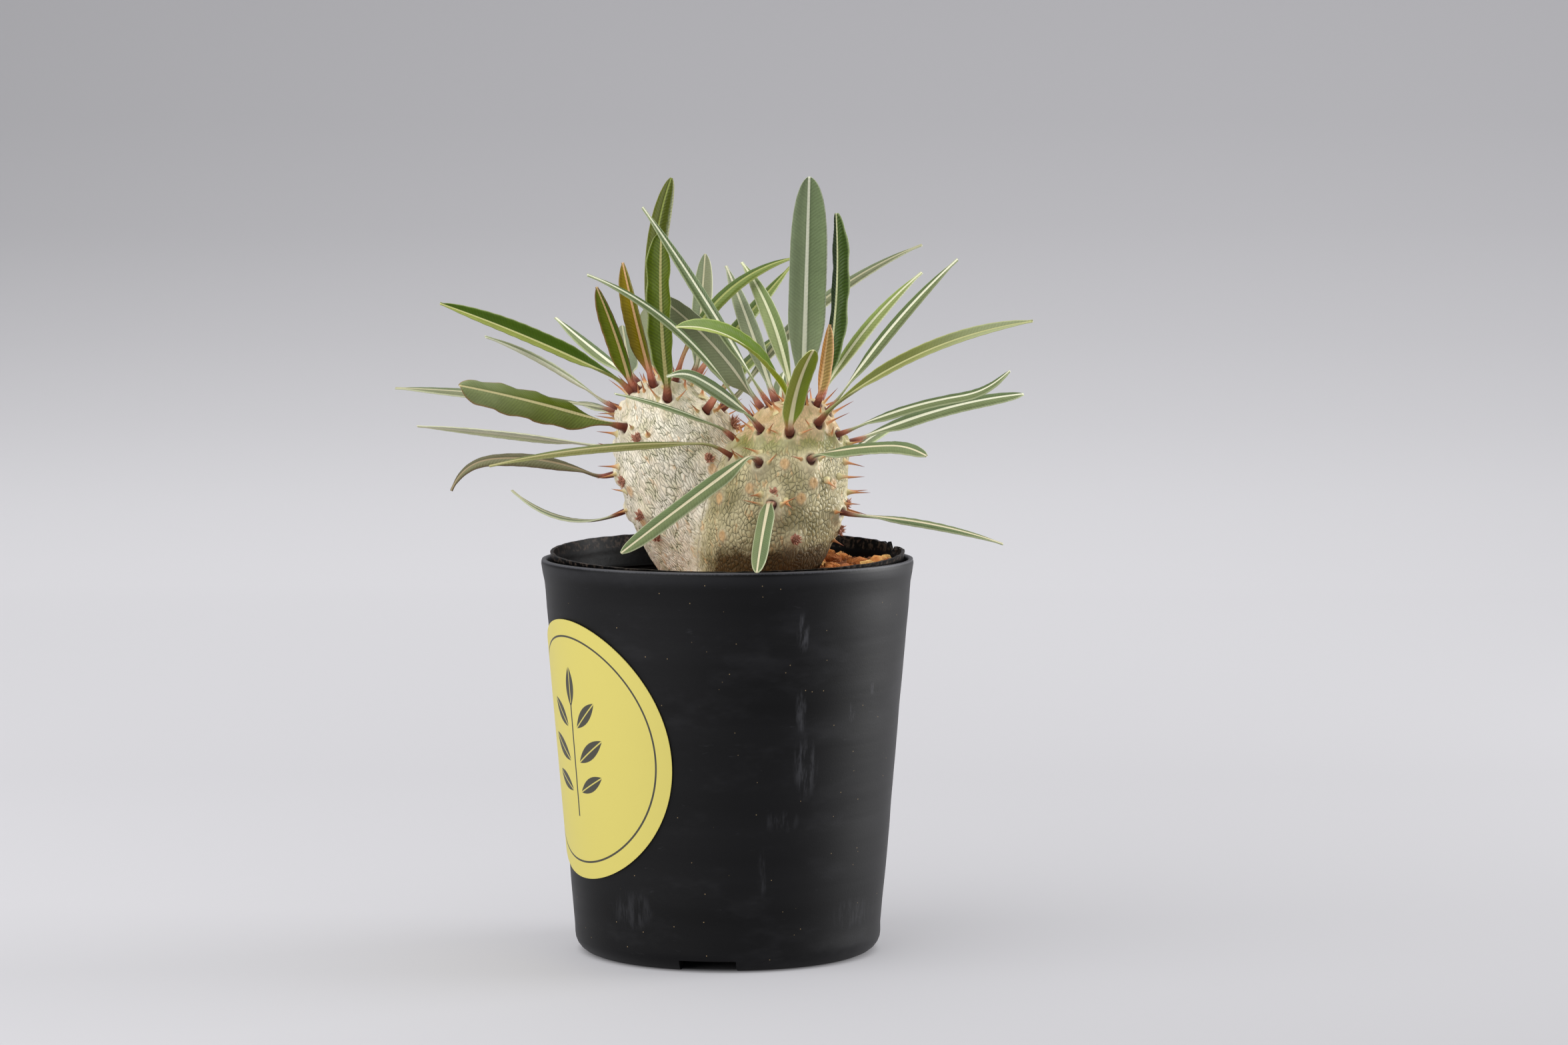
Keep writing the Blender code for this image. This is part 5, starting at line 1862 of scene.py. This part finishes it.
@dataclass
class Foliage:
    """All the leaves. They repeat the solids' rule, with thin blades, ribs, veins and waved margins."""

    seats: list[Spot]
    steps: int = 60
    columns: int = 16
    stations: int = 84
    petiole: float = 1.5
    stand: float = 1.7
    spare: float = 0.85
    flutter: float = 0.06
    flare: float = 0.3
    sunk: float = 1.3 * MM
    runs: list[tuple[Rows, Rows, Rows]] = field(init=False)
    midribs: Rows = field(init=False)
    room: Rows = field(init=False)

    def __post_init__(self) -> None:
        """Works out every leaf's frames, and the room that spines leave round them."""
        self.runs = [self.frames(leaf, spot) for leaf, spot in zip(LEAVES, self.seats)]
        shares = np.arange(self.steps + 1) / self.steps
        self.midribs = np.concatenate([run[0] for run in self.runs])
        self.room = np.concatenate([(self.width(leaf, shares) / 2 + self.spare) * MM for leaf in LEAVES])

    def width(self, leaf: Leaf, share: Any) -> Any:
        """Works out how wide a blade is.

        Args:
            leaf: the leaf.
            share: a share of its length, or many.

        Returns:
            The full width there, in millimetres.
        """
        form = leaf.form
        share = np.asarray(share, float)
        body = eased(share / form.swell) ** 0.7
        past = np.clip((share - form.tip_start) / (1 - form.tip_start), 0, 1)
        body = body * np.maximum(1 - past**form.tip_power, 0) ** form.tip_round
        return np.maximum(leaf.width * body, self.petiole * (1 - 0.5 * share))

    def frames(self, leaf: Leaf, spot: Spot) -> tuple[Rows, Rows, Rows]:
        """Runs a leaf's midrib in small even steps.

        Args:
            leaf: the leaf.
            spot: its seat.

        Returns:
            The midrib's points in metres, with their side and upward vectors.
        """
        point = spot.point + spot.normal * self.stand * MM
        spots, sides, ups = [], [], []
        for step in range(self.steps + 1):
            share = step / self.steps
            rise = leaf.rise + leaf.droop * (0.5 - share) - leaf.curl * float(eased((share - 0.65) / 0.35))
            turn = leaf.turn + leaf.sweep * (share - 0.5)
            ahead = spot.normal.lerp(heading(turn, rise), float(eased(share / 0.14))).normalized()
            side = Vector((-math.sin(math.radians(turn)), math.cos(math.radians(turn)), 0))
            side = (side - ahead * side.dot(ahead)).normalized()
            side = Matrix.Rotation(math.radians(leaf.roll) * float(eased(share / 0.35)), 3, ahead) @ side
            spots.append(tuple(point))
            sides.append(tuple(side))
            ups.append(tuple(ahead.cross(side)))
            point = point + ahead * (leaf.length * MM / self.steps)
        return np.array(spots), np.array(sides), np.array(ups)

    def clear_of(self, foot: Vector, tip: Vector) -> bool:
        """Whether a spine keeps clear of every leaf's midrib.

        Args:
            foot: the spine's sunk foot.
            tip: its point.

        Returns:
            False where a blade passes nearer than its half width and a little.
        """
        start, run = np.array(foot), np.array(tip - foot)
        share = np.clip((self.midribs - start) @ run / (run @ run), 0, 1)
        gap = np.linalg.norm(self.midribs - start - share[:, None] * run, axis=1)
        return not bool((gap < self.room).any())

    def blank(self) -> Piece:
        """Makes the flat closed sheet from which every leaf is cut.

        Returns:
            The sheet, 2 wide and 2 long.
        """
        bpy.ops.mesh.primitive_grid_add(x_subdivisions=self.columns, y_subdivisions=self.stations, size=2)
        blank = made("leaf_blank")
        add_modifier(blank, "SOLIDIFY", thickness=0.1, offset=0)
        apply_modifiers(blank)
        with editing(blank):
            bpy.ops.mesh.flip_normals()
        return blank

    def shape(self, leaf: Leaf, run: tuple[Rows, ...], normal: Vector, mesh: bpy.types.Mesh, seed: float) -> None:
        """Moves a blank onto the leaf's midrib, outline and cross-section.

        Args:
            leaf: the leaf.
            run: its midrib's frames.
            normal: the seat's normal, along which the foot goes into its socket.
            mesh: the blank's mesh.
            seed: a number of the leaf's own.
        """
        flat = points_of(mesh)
        across = flat[:, 0]
        side = np.sign(flat[:, 2])
        even = (flat[:, 1] + 1) / 2
        share = even - 0.07 * np.sin(2 * math.pi * even)
        steps = np.arange(self.steps + 1) / self.steps
        spot, aside, up = (
            np.stack([np.interp(share, steps, part[:, axis]) for axis in range(3)], axis=1) for part in run
        )
        along = share * leaf.length
        stout = 0.5 + leaf.width / 8
        flare = self.flare * stout * hump(along, 2.6, 1.6)
        half = self.width(leaf, share) / 2 * 1.06 + flare
        x = across * half
        blade = eased((share - 0.08) / 0.22)
        ripple = leaf.wave * np.sin(share * 31 + 2 * across) * across**2 * eased(share / 0.3)
        flutter = self.flutter * np.sin(along * 1.9 + 5 * seed + across) * across**2 * blade * half / 3
        lift = leaf.form.edge_lift * half * 2 * across**2 + ripple + flutter
        lift -= leaf.form.curl_under * half * 0.5 * across**2 * blade
        lift -= eased((np.abs(across) - 0.72) / 0.28) * blade * np.minimum(half * 0.2, 0.4)
        body = 0.46 - 0.14 * share + 1.15 * stout * hump(along, 3.6, 1.3)
        thick = body / 2 * np.sqrt(np.maximum(1 - 0.9 * across**2, 0.08))
        ridge = 0.34 * hump(x, 0.45) * (1 - 0.6 * share) * blade
        channel = 0.14 * hump(x, 0.36) * blade
        inner = eased((np.abs(x) - 0.4) / 0.6) * eased((1 - np.abs(across)) / 0.25)
        veins = leaf.form.corrugation * np.sin((along - np.abs(x) * VEIN_SLANT) * VEIN_RATE) * inner
        height = lift + side * thick + veins * blade - np.where(side < 0, ridge, channel)
        points = spot + aside * (x * MM)[:, None] + up * (height * MM)[:, None]
        sunk = np.clip(1 - share / 0.03, 0, 1) * self.sunk
        points -= np.array(normal) * sunk[:, None]
        # upper picks the half that faces up, so that half gets the high colour of the painted light and shade.
        upper = 1 if aside[len(aside) // 2, 2] >= 0 else -1
        set_points(mesh, points)
        write_vectors(mesh, "blade", np.stack([x * upper, along, side], axis=1))
        write_vectors(mesh, "reach", np.stack([share, half - np.abs(x), share * 0 + seed], axis=1))

    def build(self) -> None:
        """Makes every leaf, painted and in place."""
        blank = self.blank()
        paints = {tone: LeafSkin(tone).mixed() for tone in Tone}
        count = dict.fromkeys(HEADS, 0)
        for index, (leaf, spot, run) in enumerate(zip(LEAVES, self.seats, self.runs)):
            count[leaf.head] += 1
            name = f"{leaf.head}_leaf_{count[leaf.head]:02d}"
            piece = copy_at(blank, Matrix.Identity(4))
            piece.name = "blade_" + name
            self.shape(leaf, run, spot.normal, piece.data, index / 10)
            shade(piece)
            finish_piece(piece, paints[leaf.tone], "leaves", name)
        bpy.data.objects.remove(blank)


# ---- soil


@dataclass
class PottingMix:
    """The soil: a rippled bed, lumps of baked clay and dry fibres."""

    liner: ThinLiner
    level: float = 88.5 * MM
    mound: float = 4.5 * MM
    mound_run: float = 45 * MM
    dip: float = 1.4 * MM
    ripple: float = 1.2 * MM
    skirt: float = 9 * MM
    cells: int = 90
    stem_room: float = 13.5 * MM
    lumps: int = 1050
    lump_seed: int = 17
    lump_kinds: int = 5
    big_lumps: tuple[float, float] = (1.3, 2.1)
    small_lumps: tuple[float, float] = (0.35, 1)
    big_tints: tuple[float, float] = (0.45, 1.1)
    small_tints: tuple[float, float] = (0, 0.65)
    fibres: int = 620
    fibre_seed: int = 29
    fibre_lengths: tuple[float, float] = (1.6, 6)
    fibre_half: float = 0.0102
    fibre_bows: tuple[float, ...] = (0.15, 0.4, -0.3)

    def height(self, x: float, y: float) -> float:
        """Works out the bed's top, which is mounded to the right and lower to the left.

        Args:
            x: metres to the right of the pot's axis.
            y: metres behind it.

        Returns:
            The height in metres.
        """
        mound = self.mound * float(eased((x + 0.2 * y + 10 * MM) / self.mound_run))
        ripple = self.ripple * noise.noise(Vector((x, y, 0)) * 90)
        sunk = self.dip * float(eased((-8 * MM - x) / (16 * MM)))
        return self.level + mound + ripple - sunk

    def bed(self) -> Piece:
        """Makes the bed, a round sheet with a skirt that hides its edge.

        Returns:
            The bed.
        """
        bpy.ops.mesh.primitive_grid_add(x_subdivisions=self.cells, y_subdivisions=self.cells, size=2)
        bed = made("soil_bed")
        rim = self.liner.radius(self.level) - self.liner.wall - self.liner.ridge - 0.3 * MM
        for vert in bed.data.vertices:
            u, v = vert.co.x, vert.co.y
            x = u * math.sqrt(1 - v * v / 2) * rim
            y = v * math.sqrt(1 - u * u / 2) * rim
            crumb = 0.5 * noise.noise(Vector((x, y, 3)) * 420) + 0.3 * noise.noise(Vector((x, y, 7)) * 1100)
            vert.co = (x, y, self.height(x, y) + crumb * MM)
        with editing(bed):
            bpy.ops.mesh.extrude_region_move(TRANSFORM_OT_translate={"value": (0, 0, -self.skirt)})
        outward(bed)
        write_vectors(bed.data, "tint", np.full((len(bed.data.vertices), 3), 0.22))
        return bed

    def lump_templates(self) -> list[Piece]:
        """Makes a few knobbly lumps.

        Returns:
            The lumps, about 1 in radius.
        """
        templates = []
        for index in range(self.lump_kinds):
            bpy.ops.mesh.primitive_ico_sphere_add(subdivisions=2, radius=1)
            lump = made(f"lump_template_{index}")
            for vert in lump.data.vertices:
                bulge = noise.noise(vert.co * 1.3 + Vector((index * 9, 0, 0)))
                knob = noise.noise(vert.co * 3.1 + Vector((0, index * 7, 0)))
                vert.co *= 1 + 0.46 * bulge + 0.34 * knob
            templates.append(lump)
        return templates

    def spots(self, draw: random.Random, count: int) -> Iterable[tuple[float, float]]:
        """Finds places between the stem and the liner.

        Args:
            draw: where its chances come from.
            count: how many places.

        Yields:
            Each place, in metres from the pot's axis.
        """
        rim = self.liner.radius(self.level) - self.liner.wall - 1.4 * MM
        found = 0
        while found < count:
            reach = rim * math.sqrt(draw.uniform(0, 1))
            turn = draw.uniform(0, 2 * math.pi)
            x, y = reach * math.cos(turn), reach * math.sin(turn)
            if math.hypot(x - ROOT.heart.x, y) > self.stem_room:
                found += 1
                yield x, y

    def grains(self) -> Piece:
        """Scatters the lumps.

        Returns:
            All the lumps as one piece.
        """
        draw = random.Random(self.lump_seed)
        templates = self.lump_templates()
        copies = []
        for x, y in self.spots(draw, self.lumps):
            big = draw.random() < 0.05 + 0.09 * (x > 12 * MM)
            size = draw.uniform(*(self.big_lumps if big else self.small_lumps))
            spin = Matrix.Rotation(draw.uniform(0, 6.28), 4, "Z") @ Matrix.Rotation(draw.uniform(-0.7, 0.7), 4, "X")
            squash = Matrix.Diagonal((1, draw.uniform(0.65, 1), draw.uniform(0.55, 0.85), 1))
            place = Matrix.Translation((x, y, self.height(x, y) + size * (0.22 + 0.2 * big) * MM))
            place = place @ spin @ squash @ Matrix.Scale(size * MM, 4)
            tints = self.big_tints if big else self.small_tints
            copies.append(copy_at(draw.choice(templates), place, draw.uniform(*tints)))
        return joined("clay_grains", copies, *templates)

    def fibre_template(self, bow: float) -> Piece:
        """Makes one bowed fibre along X.

        Args:
            bow: how far it bends.

        Returns:
            The fibre, 1 long.
        """
        bpy.ops.mesh.primitive_cylinder_add(vertices=5, radius=1, depth=1, rotation=(0, math.pi / 2, 0))
        fibre = made("fibre_template")
        bpy.ops.object.transform_apply(rotation=True)
        with editing(fibre):
            for index in range(1, 7):
                bpy.ops.mesh.select_all(action="SELECT")
                bpy.ops.mesh.bisect(plane_co=(index / 7 - 0.5, 0, 0), plane_no=(1, 0, 0))
        points = points_of(fibre.data)
        along = points[:, 0]
        points[:, 1:] *= (self.fibre_half * (1 - np.abs(along) * 1.1))[:, None]
        points[:, 1] += bow * (along * along - 0.1)
        points[:, 2] += 0.3 * bow * np.sin(along * 5)
        set_points(fibre.data, points)
        return fibre

    def strands(self) -> Piece:
        """Scatters the fibres.

        Returns:
            All the fibres as one piece.
        """
        draw = random.Random(self.fibre_seed)
        templates = [self.fibre_template(bow) for bow in self.fibre_bows]
        copies = []
        for x, y in self.spots(draw, self.fibres):
            length = draw.uniform(*self.fibre_lengths)
            spin = Matrix.Rotation(draw.uniform(0, 6.28), 4, "Z") @ Matrix.Rotation(draw.uniform(-0.35, 0.35), 4, "Y")
            place = Matrix.Translation((x, y, self.height(x, y) + draw.uniform(0.2, 1.1) * MM))
            place = place @ spin @ Matrix.Scale(length * MM, 4)
            copies.append(copy_at(draw.choice(templates), place, draw.random()))
        return joined("coir_fibres", copies, *templates)

    def build(self) -> None:
        """Makes the bed with its grains, and the fibres, painted and in place."""
        soil = joined("soil_bed", [self.bed(), self.grains()])
        shade(soil, 50)
        finish_piece(soil, BakedClay().mixed(), "soil", "soil")
        strands = self.strands()
        shade(strands)
        finish_piece(strands, CoirFibre().mixed(), "soil")


# ---- studio


class SoftBox(NamedTuple):
    """One area light: where it stands and looks, its sides in metres and its watts."""

    name: str
    place: tuple[float, float, float]
    target: tuple[float, float, float]
    width: float
    height: float
    watts: float


@dataclass
class Studio:
    """A pale sweep, soft boxes and the photograph's camera."""

    sweep_width: float = 6
    sweep_run: float = 5.2
    sweep_near: float = -1.6
    sweep_flat: float = 2.6
    sweep_bend: float = 0.5
    sweep_cuts: int = 63
    room_light: float = 0.29
    room_tint: Colour = (0.92, 0.95, 1, 1)
    lens: float = 100.43
    camera_place: tuple[float, float, float] = (0.01891, -1.0599, 0.1803)
    camera_pitch: float = 4.177
    boxes: tuple[SoftBox, ...] = (
        SoftBox("key", (-0.85, -0.7, 0.85), (0, 0, 0.1), 1.8, 1.8, 24),
        SoftBox("top", (0.1, 0.2, 1.3), (0, 0.1, 0), 1.8, 1.4, 11.5),
        SoftBox("fill", (0.78, 0.16, 0.22), (0, 0, 0.12), 0.5, 0.4, 7.5),
        SoftBox("back", (0, 0.75, 1.1), (0, 1.3, 0.1), 2.4, 0.7, 3.5),
    )

    def sweep(self) -> None:
        """Makes the floor that curves up into a backdrop."""
        bpy.ops.mesh.primitive_plane_add(size=1)
        sweep = made("sweep")
        with editing(sweep):
            bpy.ops.mesh.subdivide(number_cuts=self.sweep_cuts)
        points = points_of(sweep.data)
        run = (points[:, 1] + 0.5) * self.sweep_run
        flat, bend = self.sweep_flat, self.sweep_bend
        angle = np.clip((run - flat) / bend, 0, math.pi / 2)
        past = np.maximum(run - flat - bend * math.pi / 2, 0)
        y = np.minimum(run, flat) + bend * np.sin(angle) + self.sweep_near
        z = bend * (1 - np.cos(angle)) + past
        set_points(sweep.data, np.stack([points[:, 0] * self.sweep_width, y, z], axis=1))
        shade(sweep)
        sweep.data.materials.append(PaleSweep().mixed())

    def light(self) -> None:
        """Hangs the soft boxes in a dim room."""
        for box in self.boxes:
            aim = Vector(box.target) - Vector(box.place)
            bpy.ops.object.light_add(type="AREA", location=box.place, rotation=aim.to_track_quat("-Z", "Y").to_euler())
            lamp = bpy.context.active_object
            lamp.name = box.name + "_light"
            lamp.data.shape = "RECTANGLE"
            lamp.data.size = box.width
            lamp.data.size_y = box.height
            lamp.data.energy = box.watts
        world = bpy.data.worlds.new("room")
        world.use_nodes = True
        background = world.node_tree.nodes["Background"]
        background.inputs["Color"].default_value = self.room_tint
        background.inputs["Strength"].default_value = self.room_light
        bpy.context.scene.world = world

    def shoot(self) -> None:
        """Sets up the camera where the photograph was taken."""
        tilt = (math.radians(90 - self.camera_pitch), 0, 0)
        bpy.ops.object.camera_add(location=self.camera_place, rotation=tilt)
        camera = bpy.context.active_object
        camera.name = "photo_camera"
        camera.data.lens = self.lens
        camera.data.sensor_width = 36
        camera.data.clip_end = 20
        bpy.context.scene.camera = camera
        bpy.context.scene.view_settings.view_transform = "Standard"


def main() -> None:
    """Builds every piece in order, then the studio."""
    logging.basicConfig(level=logging.INFO, format="%(name)s %(message)s")
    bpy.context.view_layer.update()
    bpy.ops.object.select_all(action="DESELECT")
    pot = NurseryPot()
    pot.build()
    RoundSticker(pot).build()
    liner = ThinLiner(pot)
    liner.build()
    PottingMix(liner).build()
    stem = SwollenStem()
    body = stem.body()
    stem.find_places(body)
    foliage = Foliage(stem.seats)
    stem.bark(body)
    bpy.data.objects.remove(body)
    stem.spines(foliage)
    stem.dry_buds()
    foliage.build()
    studio = Studio()
    studio.sweep()
    studio.light()
    studio.shoot()


if __name__ == "__main__":
    main()
